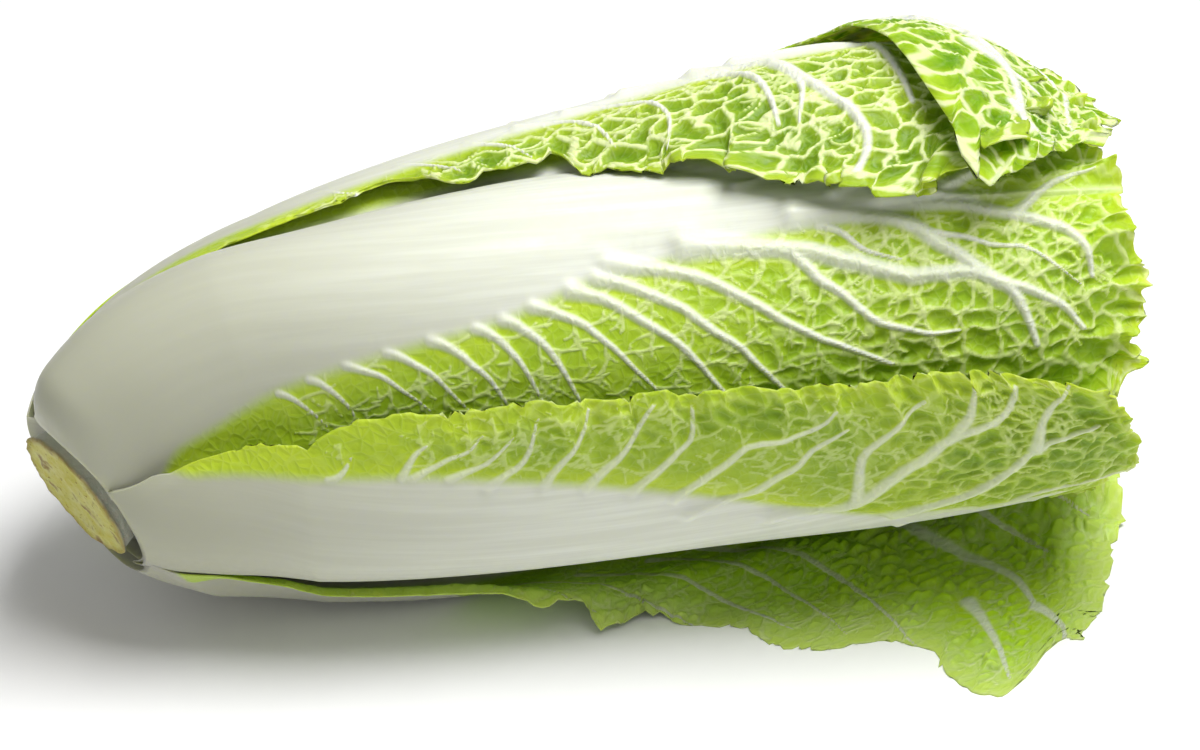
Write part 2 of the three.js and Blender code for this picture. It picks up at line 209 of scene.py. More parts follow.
class Leaf:
    """One leaf of the spiral: where it grows, how it wraps the head, and the points of its two faces."""

    def __init__(self, order):
        self.order = order
        self.outer = order < len(OUTER_LEAVES)
        deeper = order - len(OUTER_LEAVES)
        turn = FIRST_TURN - GOLDEN_ANGLE * order
        if self.outer:
            self.name, self.base, self.tip, inset, lean, wrap, ahead, behind, own = OUTER_LEAVES[order]
        else:
            share = deeper / (INNER_LEAVES - 1)
            self.name = f"inner_leaf_{order + 1:02d}"
            self.base = INNER_BASE[0] + deeper * INNER_BASE[1]
            inset = INNER_INSET[0] + deeper * INNER_INSET[1]
            self.tip = lerp(INNER_TIP[0], INNER_TIP[1], share) + INNER_TIP[2] * math.sin(order)
            lean, wrap, ahead, behind = (0, 0, 0, 0), INNER_WRAP, EVEN, EVEN
            own = {"rib_width": INNER_RIB[0], "rib_height": INNER_RIB[1]}
        self.core_radius = lerp(CORE_RADIUS, CORE_TOP_RADIUS, self.base / CORE_HEIGHT)
        self.swell = (BELLY_RADIUS - inset - self.core_radius) / (BELLY_RADIUS - CORE_RADIUS)
        self.width = (BELLY_RADIUS - 0.7 * inset) / BELLY_RADIUS
        self.turn = through([(at, math.radians(turn + by)) for at, by in zip(LEAN_AT, lean)])
        self.wrap = [math.radians(w) for w in wrap]
        self.sides = [through(list(zip(SIDE_AT, side))) for side in (ahead, behind)]
        self.rounding = own.get("rounding", TIP_ROUNDING)
        self.bulge = through(list(zip(SIDE_AT, own.get("bulge", FLAT))))
        self.spread = own.get("spread", False)
        self.closing = 0.0 if self.outer else INNER_CLOSING * deeper / (INNER_LEAVES - 1)
        self.blade = OUTER_BLADE if self.outer else INNER_BLADE
        self.rib_width, self.rib_height = own.get("rib_width", 1), own.get("rib_height", 1)

    def layer(self, share):
        """Distance along the axis and radius of the inner face."""
        axial = lerp(self.base, self.tip, profile_axial(share) / HEAD_LENGTH)
        return axial, self.core_radius + (profile_radius(share) - CORE_RADIUS) * self.swell

    def half_width(self, t, v):
        """Half the leaf's width on the side of v."""
        side = np.where(v > 0, self.sides[0](t), self.sides[1](t))
        held = np.where(v > 0, self.wrap[0], self.wrap[1]) * self.core_radius
        grown = blade_half_width(t) * self.width * side
        return np.minimum(lerp(held, grown, smoothstep(t, 0, 0.13)), LARGEST_WRAP * self.layer(t)[1])

    def rib_half(self, t, half):
        """Half the rib's width, in a leaf's half of the given width."""
        return np.minimum(rib_half_width(t) * self.rib_width * self.width, RIB_SHARE * half)

    def wrapped(self, t, v, lift):
        """A point lift outside the inner face; v is -1 and 1 at the margins, 0 at the rib."""
        share = t * (1 - self.rounding * v * v * t * t)
        x, r = self.layer(share)
        x0, r0 = self.layer(np.maximum(share - NORMAL_STEP, 0))
        x1, r1 = self.layer(np.minimum(share + NORMAL_STEP, 1))
        dx, dr = x1 - x0, r1 - r0
        length = np.hypot(dx, dr)
        dx, dr = dx / length, dr / length
        lift = lift + self.bulge(t) * smoothstep(t, 0, 0.07) * np.maximum(1 - v * v, 0) ** 2
        turn = self.turn(t) + v * self.half_width(t, v) / r
        axial = x - dr * lift
        above = np.maximum(np.cos(turn - CLOSING_SIDE), 0)
        lowered = 1 - TIP_CLOSING * smoothstep(axial, CLOSES_FROM, CLOSES_TO) * above
        closed = 1 - self.closing * smoothstep(t, CLOSING_FROM, 1)
        radius = (r + dx * lift) * lowered * closed
        return lay_down(axial, -radius * np.cos(turn), radius * np.sin(turn))

    def spread_out(self, t, v, lift, place):
        """The same points on a leaf whose front half lies out on the table."""
        reach = self.half_width(t, v)
        rib_edge = rib_half_width(t)
        out = v * reach - rib_edge
        share = smoothstep(t, SPREAD_FROM, SPREAD_WHOLE) * smoothstep(out, 0, SPREAD_EASE) * (v > 0)
        edge = self.wrapped(t, rib_edge / reach, 0)
        height = (np.maximum(edge[..., 2], 0) + SPREAD_RISE * out) * np.exp(-((out / SPREAD_EASE) ** 2))
        lying = np.stack([place[..., 0], edge[..., 1] - out, height + self.blade - lift], -1)
        return lerp(place, lying, share[..., None])

    def place(self, t, v, lift):
        """The finished place of the leaf's points. Nothing reaches below the table."""
        where = self.wrapped(t, v, lift)
        if self.spread:
            where = self.spread_out(t, v, lift, where)
        floor = np.where(lift > 0, 0.0, self.blade)
        where[..., 2] = np.maximum(where[..., 2], floor)
        return where


# ---------------------------------------------------------------------------
# Noise, cells and veins in the flat plane of a leaf, in millimetres.
# ---------------------------------------------------------------------------
LATTICE = 256
BRANCH_RADIUS = 0.5  # mm: a vein no thicker than this is a branch of another


def noise(x, y, seed):
    """Smooth noise from -1 to 1, with features about one unit across."""
    angle = np.random.default_rng(seed).uniform(0, 2 * math.pi, (LATTICE, LATTICE))
    x0, y0 = np.floor(x).astype(int), np.floor(y).astype(int)
    fx, fy = x - x0, y - y0
    ux, uy = fx * fx * (3 - 2 * fx), fy * fy * (3 - 2 * fy)

    def corner(i, j):
        turned = angle[(x0 + i) % LATTICE, (y0 + j) % LATTICE]
        return np.cos(turned) * (fx - i) + np.sin(turned) * (fy - j)

    low = lerp(corner(0, 0), corner(1, 0), ux)
    high = lerp(corner(0, 1), corner(1, 1), ux)
    return lerp(low, high, uy) * 1.5


def cells(x, y, size, seed):
    """A net of uneven cells: the distance to the nearest thread, and a random number for each cell."""
    draw = np.random.default_rng(seed)
    jitter = draw.uniform(0.12, 0.88, (LATTICE, LATTICE, 2))
    tint = draw.uniform(0, 1, (LATTICE, LATTICE))
    gx, gy = x / size, y / size
    i0, j0 = np.floor(gx).astype(int), np.floor(gy).astype(int)
    near = np.full(gx.shape, 1e9)
    px, py, own = np.zeros(gx.shape), np.zeros(gx.shape), np.zeros(gx.shape)
    found = []
    for di in range(-2, 3):
        for dj in range(-2, 3):
            i, j = (i0 + di) % LATTICE, (j0 + dj) % LATTICE
            qx, qy = i0 + di + jitter[i, j, 0], j0 + dj + jitter[i, j, 1]
            found.append((qx, qy))
            far = (qx - gx) ** 2 + (qy - gy) ** 2
            closer = far < near
            near = np.where(closer, far, near)
            px, py, own = (np.where(closer, a, b) for a, b in ((qx, px), (qy, py), (tint[i, j], own)))
    thread = np.full(gx.shape, 1e9)
    for qx, qy in found:
        dx, dy = px - qx, py - qy
        apart = np.hypot(dx, dy)
        far = ((gx - (px + qx) / 2) * dx + (gy - (py + qy) / 2) * dy) / np.maximum(apart, 1e-6)
        thread = np.where(apart > 1e-6, np.minimum(thread, far), thread)
    return thread * size, own


def curve(start, end, leave, arrive, points):
    """Points of a smooth curve; leave and arrive are its directions in radians from the leaf's rib."""
    start, end = np.array(start, float), np.array(end, float)
    reach = np.linalg.norm(end - start)
    first = start + 0.36 * reach * np.array([math.cos(leave), math.sin(leave)])
    second = end - 0.34 * reach * np.array([math.cos(arrive), math.sin(arrive)])
    u = np.linspace(0, 1, points)[:, None]
    return (1 - u) ** 3 * start + 3 * (1 - u) ** 2 * u * first + 3 * (1 - u) * u * u * second + u**3 * end


def emboss(x, y, veins):
    """The veins' height over the grid x, y, and the distance to the nearest, in parts of its radius."""
    height, nearest = np.zeros(x.shape), np.full(x.shape, FARTHEST)
    row_at = x[:, 0]
    for points, radii, tall in veins:
        tall = np.broadcast_to(tall, radii.shape)
        for a, b, ra, rb, high in zip(points[:-1], points[1:], radii[:-1], radii[1:], tall[1:]):
            room = FARTHEST * max(ra, rb) + 3
            rows = slice(*np.searchsorted(row_at, (min(a[0], b[0]) - room, max(a[0], b[0]) + room)))
            if rows.start == rows.stop:
                continue
            px, py = x[rows] - a[0], y[rows] - a[1]
            dx, dy = b - a
            u = np.clip((px * dx + py * dy) / max(dx * dx + dy * dy, 1e-9), 0, 1)
            far = np.hypot(px - u * dx, py - u * dy) / lerp(ra, rb, u)
            height[rows] = np.maximum(height[rows], np.exp(-(far**2)) * high * lerp(ra, rb, u))
            nearest[rows] = np.minimum(nearest[rows], far)
    return height, nearest


def along_rib(leaf, draw, spacing, first=0.2, last=0.93):
    """Side veins of both halves, each as its radius and the places of its two ends."""
    length = leaf.tip - leaf.base
    rows = []
    for side in (1, -1):
        t = first + draw.uniform(0, spacing / length)
        while t < last:
            half = float(leaf.half_width(t, side))
            start = side * 0.8 * float(leaf.rib_half(t, half))
            angle = math.radians(lerp(50, 24, smoothstep(t, 0.35, 0.95)) + draw.uniform(-4, 4))
            run = (half - abs(start)) * 0.95 / math.tan(angle)
            end = min(t + run / length, 0.985)
            reach = float(leaf.half_width(end, side)) * 0.95
            rise = abs(start) + (end - t) * length * math.tan(angle)
            rows.append((lerp(0.7, 1.1, smoothstep(t, 0.2, 0.6)), (t, start), (end, side * min(reach, rise))))
            t += draw.uniform(0.8, 1.2) * spacing / length
    return rows


def smooth_line(corners, steps):
    """A smooth line through the corners, with steps points for each stretch."""
    corners = np.array(corners, float)
    tangent = np.gradient(corners, axis=0)
    u = np.linspace(0, 1, steps, endpoint=False)[:, None]
    u2, u3 = u * u, u * u * u
    parts = []
    for i in range(len(corners) - 1):
        ends = (2 * u3 - 3 * u2 + 1) * corners[i] + (3 * u2 - 2 * u3) * corners[i + 1]
        parts.append(ends + (u3 - 2 * u2 + u) * tangent[i] + (u3 - u2) * tangent[i + 1])
    return np.concatenate(parts + [corners[-1:]])


def branch_off(points, radii, draw, veins, first, gaps, reach, depth):
    """Adds branches on both sides of a vein, and smaller ones on them."""
    steps = np.linalg.norm(np.diff(points, axis=0), axis=1)
    along = np.concatenate([[0], np.cumsum(steps)])
    where, side = first, draw.choice((-1, 1))
    while where < along[-1] - 1:
        i = int(np.searchsorted(along, where)) - 1
        share = (where - along[i]) / max(steps[i], 1e-6)
        place = lerp(points[i], points[i + 1], share)
        dx, dy = points[i + 1] - points[i]
        heading = math.atan2(dy, dx) + side * math.radians(draw.uniform(42, 74))
        tip = place + draw.uniform(*reach) * np.array([math.cos(heading), math.sin(heading)])
        bend = side * draw.uniform(-0.1, 0.7)
        branch = curve(place, tip, heading - bend, heading + bend, 7)
        branch[1:] += draw.normal(0, 0.15, (6, 2))
        thick = min(max(0.45 * float(lerp(radii[i], radii[i + 1], share)), 0.38), 0.48)
        thinner = np.linspace(thick, 0.75 * thick, 7)
        veins.append((branch, thinner, 0.3))
        if depth > 1:
            shorter = (0.45 * reach[0], 0.5 * reach[1])
            branch_off(branch, thinner, draw, veins, draw.uniform(1.5, 3), (2.2, 3.8), shorter, depth - 1)
        where += draw.uniform(*gaps)
        side = -side


def grow_veins(leaf, rows, draw):
    """Turns the side veins' rows into curves, and adds the midrib's end and the branches."""
    length = leaf.tip - leaf.base
    veins = []
    if leaf.name not in RIB_EDGES:
        at = np.linspace(0.5, 0.985, 18)
        sway = 1.6 * noise(at * 7, at * 0 + 0.5, leaf.order + 40)
        veins.append((np.stack([at * length, sway], -1), np.linspace(2.0, 0.6, 18), 0.75))
    for radius, *places in rows:
        corners = [(t * length, w) for t, w in places]
        if len(corners) == 2:
            (x0, w0), (x1, w1) = corners
            side, chord = math.copysign(1, w1 - w0), math.atan2(abs(w1 - w0), x1 - x0)
            points = curve(*corners, side * chord * 0.4, side * min(chord * 1.3, 1.3), 15)
        else:
            points = smooth_line(corners, 4)
        u = np.linspace(0, 1, len(points))
        wander = 1.1 * noise(points[:, 0] / 8, points[:, 1] / 8, leaf.order + 60)
        points[:, 1] += wander * np.sin(math.pi * u)
        run = np.linalg.norm(points - points[0], axis=1)
        radii = radius * (lerp(1, 0.3, u**1.3) + 0.6 * np.exp(-run / 5))
        veins.append((points, radii, 0.85 * smoothstep(run, -4, 5)))
        depth = 2 if leaf.outer else 1
        branch_off(points, radii, draw, veins, draw.uniform(4, 7), (3.6, 6.6), (6, 12), depth)
    return veins


# ---------------------------------------------------------------------------
# How each leaf is dressed.
# ---------------------------------------------------------------------------
# grid: cells along and across the finer face, which is the inner one where inside is True.
# ruffle: how far the margin waves out, how far each wave's crest leans over, and the length of a wave, in mm.
# wavy: the shares of the length where the waves begin and are whole. lobes: how deep the sides and the tip
# are cut, in mm. pockets: how deep the blade sinks between its veins, in mm, and net: the size of a pocket.
# calm: the share of the length where the blade is still smooth, and the one where it is fully pocketed.
# veined: how clearly the small veins show. green: 0 is the heart's yellow and 1 the darkest outer green.
# held: the share of its waves that the side ahead and the side behind keep, where another leaf covers them.
# raised: how far the blade ahead of the rib lifts, in mm, the shares of the length where this begins, is
# whole, ends and is gone, and how far from the rib it begins and is whole. droop: how far the tip sinks.
# hull and lip: how far the leaf swells out below its side ahead, and how far that side's margin turns out.
# sag: how far the margin behind lies down on the next leaf. painted: its net is in its finish alone.
# pale_margin: how pale the blade is near its margin.
# fresh: how much purer the green is.
# outer_white: the share of the length up to which the outer face is white.
DRESS = {
    "outer_leaf_underneath": dict(
        grid=(280, 200), inside=True, ruffle=(3.0, 2.0, 13), wavy=(0.4, 0.6), lobes=(2.8, 5),
        raised=(-4, 0.04, 0.12, 0.36, 0.46, 2, 12), hull=4.4, lip=2.4, fresh=0.6, outer_white=0.4,
        pale_margin=0.2, pockets=2.1, net=0.72, calm=(0.45, 0.85), veined=0.2, green=0.55,
    ),
    "outer_leaf_back_top": dict(
        grid=(250, 200), ruffle=(5.0, 5, 19), wavy=(0.8, 0.92), lobes=(1.5, 6), droop=15, pockets=1.2,
        net=1.0, painted=True, calm=(0.4, 0.7), veined=1.0, green=0.75, fresh=0.1,
    ),
    "outer_leaf_front_low": dict(
        grid=(280, 178), ruffle=(2.4, 1.6, 14), wavy=(0.2, 0.7), lobes=(1.5, 5), pockets=1.3, net=0.95,
        calm=(0.6, 0.9), veined=0.22, green=0.52,
    ),
    "outer_leaf_back_low": dict(
        grid=(150, 100), ruffle=(4.0, 2.0, 20), wavy=(0.3, 0.6), lobes=(3, 5), pockets=1.0, net=1,
        painted=True, calm=(0.4, 0.7), veined=0.6, green=0.7,
    ),
    "outer_leaf_top": dict(
        grid=(280, 230), ruffle=(5.0, -8, 21), wavy=(0.5, 0.8), lobes=(2.5, 5), held=(0.15, 1), sag=3.5,
        pockets=1.5, net=1.05, calm=(0.1, 0.4), veined=1.0, green=0.55,
    ),
    "wrapper_leaf_front_low": dict(
        grid=(130, 90), ruffle=(3.0, 1.5, 18), wavy=(0.7, 0.9), lobes=(2, 5), held=(0.4, 0.4),
        pockets=0.8, net=1, painted=True, calm=(0.4, 0.7), veined=0.6, green=0.5,
    ),
    "wrapper_leaf_back": dict(
        grid=(150, 100), ruffle=(4.0, 3.0, 18), wavy=(0.7, 0.9), lobes=(2, 7), held=(0.5, 0.5),
        pockets=1.0, net=1, painted=True, calm=(0.4, 0.7), veined=0.6, green=0.6,
    ),
    "wrapper_leaf_front_high": dict(
        grid=(320, 236), ruffle=(6.5, 2.5, 15), wavy=(0.6, 0.88), lobes=(2, 5),
        raised=(8, 0.08, 0.2, 0.76, 0.95, -4, 8), held=(0.3, 1), fresh=0.3, pockets=1.5, net=1,
        calm=(0.5, 0.85), veined=0.6, green=0.45,
    ),
}
INNER_DRESS = dict(
    grid=(72, 46), ruffle=(4.5, 5.0, 15), wavy=(0.7, 0.9), lobes=(2, 6), held=(0.6, 0.6), pockets=0.6,
    net=1, painted=True, calm=(0.4, 0.8), veined=0.6, green=0.3,
)

# How far a leaf's margin reaches past its solid's: (share of the length, mm) ahead of the middle line and
# behind it, and at the tip (place across, from -1 behind to 1 ahead, mm).
GROWN = {
    "outer_leaf_underneath": (
        (
            (0, 11), (0.06, 8), (0.14, 1), (0.3, 0), (0.4, -3), (0.45, -1), (0.48, -5), (0.5, 1),
            (0.54, -3), (0.58, 0), (0.65, -1), (0.69, 5), (0.74, 5), (0.77, 1), (0.81, -3), (0.845, -4),
            (0.86, 1), (0.94, 1), (0.957, -8), (1, -1),
        ),
        ((0, 0), (1, 0)), ((-1, 0), (0, 0), (0.3, 3), (0.6, 2), (0.8, 5), (1, 0)),
    ),
    "outer_leaf_back_top": (
        ((0, 0), (1, 0)), ((0.78, 0), (0.85, 6), (0.9, 20), (0.96, 17), (1, 10)),
        ((-1, 15), (-0.75, 15), (-0.5, 11), (-0.25, 4), (0, -2), (1, 2)),
    ),
    "outer_leaf_front_low": (
        (
            (0, 0), (0.08, 1), (0.1, -1), (0.16, 1), (0.2, 5), (0.254, 6.5), (0.3, 11), (0.4, 8),
            (0.5, 5.5), (0.7, 5), (1, 4),
        ),
        ((0, 8), (0.07, 6), (0.16, 0), (1, 1)), ((-1, 1), (1, 2)),
    ),
    "outer_leaf_top": (
        ((0, 0), (1, 1)),
        (
            (0.1, 0), (0.2, -2), (0.32, -6), (0.36, -12), (0.4, -9), (0.44, 1), (0.46, -1), (0.51, -5),
            (0.535, -9), (0.555, 1), (0.6, 1.5), (0.67, 1.5), (0.69, 0), (0.71, 1.5), (0.76, 1.5), (1, 4),
        ),
        ((-1, 2), (1, 0)),
    ),
    "wrapper_leaf_front_high": (
        ((0, 3), (0.05, 3), (0.15, 11), (0.5, 11), (0.65, 2), (1, 0)),
        (
            (0, 0), (0.06, 4), (0.15, 6), (0.2, 9), (0.27, 10), (0.33, 8), (0.4, 5), (0.85, 2),
            (0.95, -4), (1, -12),
        ),
        ((-1, 1), (0, 1), (1, 0)),
    ),
}
EVEN_GROWTH = (((0, 0), (0.3, 0.5), (1, 0.5)), ((0, 0), (0.3, 0.5), (1, 0.5)), ((-1, 2), (1, 2)))

# Where a rib's white ends on the side ahead and on the side behind: (share of the length, mm from the
# middle).
RIB_EDGES = {
    "wrapper_leaf_front_high": (
        (
            (0, 20), (0.15, 28), (0.35, 37), (0.45, 38), (0.52, 35), (0.6, 28), (0.68, 19), (0.76, 11),
            (0.86, 3),
        ),
        (
            (0, 20), (0.13, 24.5), (0.25, 19), (0.34, 15), (0.43, 11.5), (0.52, 5), (0.6, 2), (0.68, -1),
            (0.8, -3.5),
        ),
    ),
    "outer_leaf_front_low": (
        (
            (0, 19), (0.18, 24), (0.33, 29), (0.41, 28), (0.5, 24), (0.59, 16.5), (0.66, 8), (0.78, -9),
            (0.9, -17),
        ),
        ((0, 19), (0.14, 27), (0.4, 27), (0.6, 24), (0.8, 23.5), (0.95, 19)),
    ),
    "outer_leaf_underneath": (
        ((0, 19), (0.06, 15), (0.13, 8), (0.4, 6), (0.6, 8), (0.8, 5), (1, 1)),
        ((0, 19), (0.2, 24), (0.4, 20), (0.6, 13), (0.8, 6), (1, 1)),
    ),
    "outer_leaf_top": (
        ((0, 18), (0.3, 16), (0.6, 8), (0.8, 4), (1, 1.5)),
        ((0, 14), (0.2, 12), (0.4, 7), (0.6, 4), (0.8, 2.5), (1, 1.5)),
    ),
}

# The leaves whose lower ends are moved to the cut face, and how far each may at most move, in mm. They fall
# short of it because of the known fault in laid_out().
REACHING_THE_CUT = {
    "outer_leaf_underneath": 6,
    "outer_leaf_back_top": 6,
    "outer_leaf_front_low": 6,
    "outer_leaf_top": 2,
    "wrapper_leaf_front_high": 6,
}
CUT_AT = 2.8  # mm: where the uneven cut face lies, below the first leaf's base

# The side veins of the leaves in front: each one's radius in mm and its places (share of the length, mm).
SIDE_VEINS = {
    "wrapper_leaf_front_high": (
        (0.45, (0.225, -21), (0.262, -31)), (0.5, (0.255, -19), (0.292, -32)),
        (0.55, (0.288, -17), (0.355, -31)), (0.6, (0.325, -15.5), (0.392, -34)),
        (0.7, (0.364, -14), (0.428, -35)), (0.7, (0.404, -12.5), (0.455, -34)),
        (0.8, (0.429, -11.5), (0.49, -36)), (0.85, (0.457, -9.5), (0.56, -35)),
        (1.05, (0.493, -7), (0.63, -42)), (1.1, (0.518, -5), (0.69, -46)),
        (1.5, (0.53, -2), (0.557, -3.6), (0.604, -7.2), (0.65, -16), (0.693, -25), (0.77, -37)),
        (1.2, (0.66, -3), (0.689, -5), (0.711, -12), (0.732, -18), (0.761, -26), (0.8, -30), (0.83, -30)),
        (
            2.0, (0.6, 0), (0.689, -3.8), (0.75, -10.6), (0.796, -15), (0.843, -16), (0.871, -20),
            (0.886, -26), (0.9, -36),
        ),
        (0.7, (0.72, 1.5), (0.739, -2), (0.757, -7.3), (0.785, -10.5)),
        (
            1.8, (0.7, 4), (0.757, 2.5), (0.793, -0.7), (0.829, -10.4), (0.864, -18), (0.914, -25),
            (0.943, -33),
        ),
        (0.6, (0.8, -3), (0.85, -8), (0.9, -13), (0.94, -22)),
        (1.5, (0.78, 5), (0.854, 1), (0.9, -3.4), (0.929, -7.4), (0.945, -13), (0.95, -20)),
        (1.1, (0.74, 9), (0.9, 38)), (1.0, (0.82, 5), (0.95, 28)), (0.9, (0.66, 14), (0.8, 50)),
        (0.8, (0.89, -2), (0.93, 6), (0.97, 8)),
    ),
    "outer_leaf_front_low": (
        (0.5, (0.262, 27), (0.285, 34)), (0.55, (0.325, 29), (0.343, 36.5), (0.354, 39)),
        (0.55, (0.334, 29), (0.361, 34), (0.386, 37), (0.404, 42)),
        (0.6, (0.366, 29), (0.4, 33.6), (0.43, 41)), (0.7, (0.398, 26), (0.436, 34.5), (0.456, 46)),
        (0.75, (0.447, 25), (0.464, 32), (0.493, 41), (0.506, 48)),
        (0.85, (0.486, 24), (0.529, 36), (0.565, 48)),
        (0.8, (0.526, 21), (0.564, 31), (0.589, 36.5), (0.6, 47)),
        (0.9, (0.565, 17), (0.604, 26), (0.639, 32.6), (0.7, 36), (0.73, 42)),
        (1.1, (0.575, 11), (0.632, 17), (0.671, 23.6), (0.696, 30), (0.735, 36)),
        (1.7, (0.65, 5), (0.704, 5), (0.757, 15), (0.789, 22), (0.825, 28), (0.879, 33), (0.91, 41)),
        (0.9, (0.829, 29), (0.85, 36), (0.868, 45)),
        (1.0, (0.726, 8), (0.739, 25), (0.775, 34), (0.815, 42)),
        (1.6, (0.76, -3), (0.814, 1), (0.846, 5), (0.87, 12), (0.893, 18.7), (0.955, 21)),
        (1.0, (0.893, 18.7), (0.914, 30), (0.96, 38)),
        (1.1, (0.77, -12), (0.85, -9), (0.907, -5), (0.985, -6)),
        (0.8, (0.9, -17), (0.95, -14), (0.99, -16)),
    ),
    "outer_leaf_top": (
        (0.45, (0.3, -6), (0.34, -14)), (0.5, (0.38, -5), (0.44, -17)), (0.6, (0.45, -4), (0.51, -19)),
        (0.8, (0.5, -3), (0.545, -6), (0.575, -14), (0.59, -24)),
        (0.9, (0.55, -2), (0.6, -5), (0.64, -16), (0.65, -34)),
        (1.4, (0.61, 0), (0.66, -2), (0.71, -8), (0.735, -20), (0.745, -36)),
        (1.9, (0.68, -1), (0.736, -6), (0.765, -17), (0.79, -29), (0.825, -44), (0.83, -58)),
        (0.9, (0.75, -11), (0.77, -24), (0.765, -38)),
        (1.8, (0.72, 0), (0.8, 0), (0.839, -4), (0.857, -20), (0.87, -38)),
        (1.0, (0.84, -3), (0.9, -12), (0.93, -30), (0.95, -50)), (0.9, (0.5, 6), (0.62, 36)),
        (1.1, (0.6, 5), (0.74, 46)), (1.1, (0.7, 4), (0.85, 52)), (1.0, (0.8, 3), (0.94, 48)),
    ),
    "outer_leaf_back_top": (
        (1.0, (0.7, -8), (0.9, -40)), (2.0, (0.8, -8), (0.87, -28), (0.92, -50), (0.945, -82)),
        (1.1, (0.9, -46), (0.93, -54), (0.975, -64)),
        (1.5, (0.88, -5), (0.94, -25), (0.975, -40), (1, -70)), (0.9, (0.62, -8), (0.72, -24)),
        (0.8, (0.93, -72), (0.955, -80), (0.985, -82)), (1.1, (0.5, 10), (0.66, 50)),
        (1.2, (0.6, 8), (0.76, 62)), (1.2, (0.7, 5), (0.87, 66)), (1.0, (0.8, 3), (0.95, 60)),
        (0.9, (0.4, 14), (0.54, 44)), (0.8, (0.32, 16), (0.44, 34)),
    ),
    "outer_leaf_underneath": (
        (0.45, (0.36, 17), (0.5, 34)), (0.5, (0.42, 16), (0.6, 42)), (0.6, (0.48, 15), (0.7, 52)),
        (0.6, (0.55, 13), (0.76, 58)), (0.7, (0.6, 11), (0.83, 66)),
        (1.5, (0.76, 8), (0.836, 27), (0.889, 39), (0.92, 55)),
        (0.9, (0.86, 50), (0.885, 62), (0.92, 84)), (1.0, (0.78, 6), (0.93, 34)),
        (0.8, (0.85, 5), (0.97, 22)), (0.8, (0.92, 55), (0.96, 64), (0.985, 80)),
        (0.8, (0.4, -15), (0.56, -38)), (0.9, (0.5, -12), (0.68, -48)), (1.0, (0.62, -8), (0.82, -56)),
        (1.0, (0.75, -4), (0.93, -50)),
    ),
}
HULL_MIDDLE = 14.0  # mm from the middle line: where the leaf underneath swells out most
HULL_WIDTH = 9  # mm: how far from there the swelling reaches
SAG_WIDTH = 14  # mm: how far in from the margin a leaf sags on the next one
LIP_WIDTH = 6  # mm: how far in from the margin it turns out
WAVES_REACH = 12  # mm: how far in from the margin its waves reach
SMALL_WAVES_REACH = 6
THREAD_RADIUS = 0.45  # mm: of the net's raised threads
RING_RADIUS = 12.5  # mm: the sunken ring on the cut face
RING_WIDTH = 1.2
WHITE_BASE = 14.0  # mm: how much wider every leaf is white where it grows from the core
FARTHEST = 4.0  # of a vein's radius: the distances that the finish reads end here
DIRECTION_STEP = 0.03  # share of the length over which a leaf's direction past its tip is taken

# The finish's patterns, in repeats to a metre of leaf.
PATCHES = 38.0
GRAIN = 300.0
HAIRLINES = 330.0
GROOVES = (18.0, 420.0, 1.0)
WAVERING_SCALE = 110.0
WAVERING = 0.0045  # m: how far the painted net is bent


def rib_zone(leaf, t, half):
    """How far the rib's white reaches ahead of the leaf's middle line and behind it."""
    if leaf.name in RIB_EDGES:
        ahead, behind = (through(points)(t) for points in RIB_EDGES[leaf.name])
        return ahead, behind
    reach = 0.86 * leaf.rib_half(t, half)
    return reach, reach


def outline(leaf, dress, t, v, seed, tooth):
    """Cuts the leaf's even outline to a toothed and lobed one: the new t and v of the same grid."""
    length = leaf.tip - leaf.base
    half = leaf.half_width(t, v)
    ahead, behind, tip = (through(points) for points in GROWN.get(leaf.name, EVEN_GROWTH))

    def cut(at, row, deep):
        lobes = smoothstep(noise(at / 13, row, seed), -0.5, 0.4)
        notches = 1.4 * np.maximum(1 - 3 * np.abs(noise(at / 5.2, row + 7, seed + 1)), 0) ** 2
        fine = np.maximum(1 - 3 * np.abs(noise(at / 2.3, row + 13, seed + 2)), 0)
        return deep * lobes + tooth * (1.1 * notches + 0.5 * fine)

    side = np.where(v > 0, 0.5, 31.5)
    blade = smoothstep(t, 0.1, 0.28)
    grown = np.where(v > 0, ahead(t), behind(t))
    longer = tip(v) - cut(v * half, np.full_like(v, 50.5), dress["lobes"][1])
    at_margin = np.maximum(grown, 0) - blade * cut(t * length, side, dress["lobes"][0])
    reach = 1 + (at_margin * v**4 + np.minimum(grown, 0) * np.abs(v)) / half
    return t + longer / length * t**14, v * reach * (1 - 0.16 * smoothstep(t, 0.86, 1.0) ** 2 * v * v)


TO_THE_CUT = lay_down(np.array(-1.0), 0.0, 0.0) - lay_down(np.array(0.0), 0.0, 0.0)


def laid_out(leaf, t, v, lift):
    """The leaf's place, also for shares past its solid's tip, where it goes straight on.

    Known fault: where at is under DIRECTION_STEP - NORMAL_STEP, the second place below is clamped on both
    sides to the base and isn't a number. The base's rows are lost, and shell_mesh's validate() sets them to
    the origin, which leaves long stray faces on every leaf. Taking the direction at np.maximum(at, 0.5)
    clears it. REACHING_THE_CUT makes up for the lost rows, so it has to be fitted again with that.
    """
    at = np.minimum(t, 1)
    level = np.zeros_like(lift)
    onward = leaf.place(at, v, level) - leaf.place(at - DIRECTION_STEP, v, level)
    onward /= np.maximum(np.linalg.norm(onward, axis=-1, keepdims=True), 1e-6)
    return leaf.place(at, v, lift) + onward * (np.maximum(t - 1, 0) * (leaf.tip - leaf.base))[..., None]


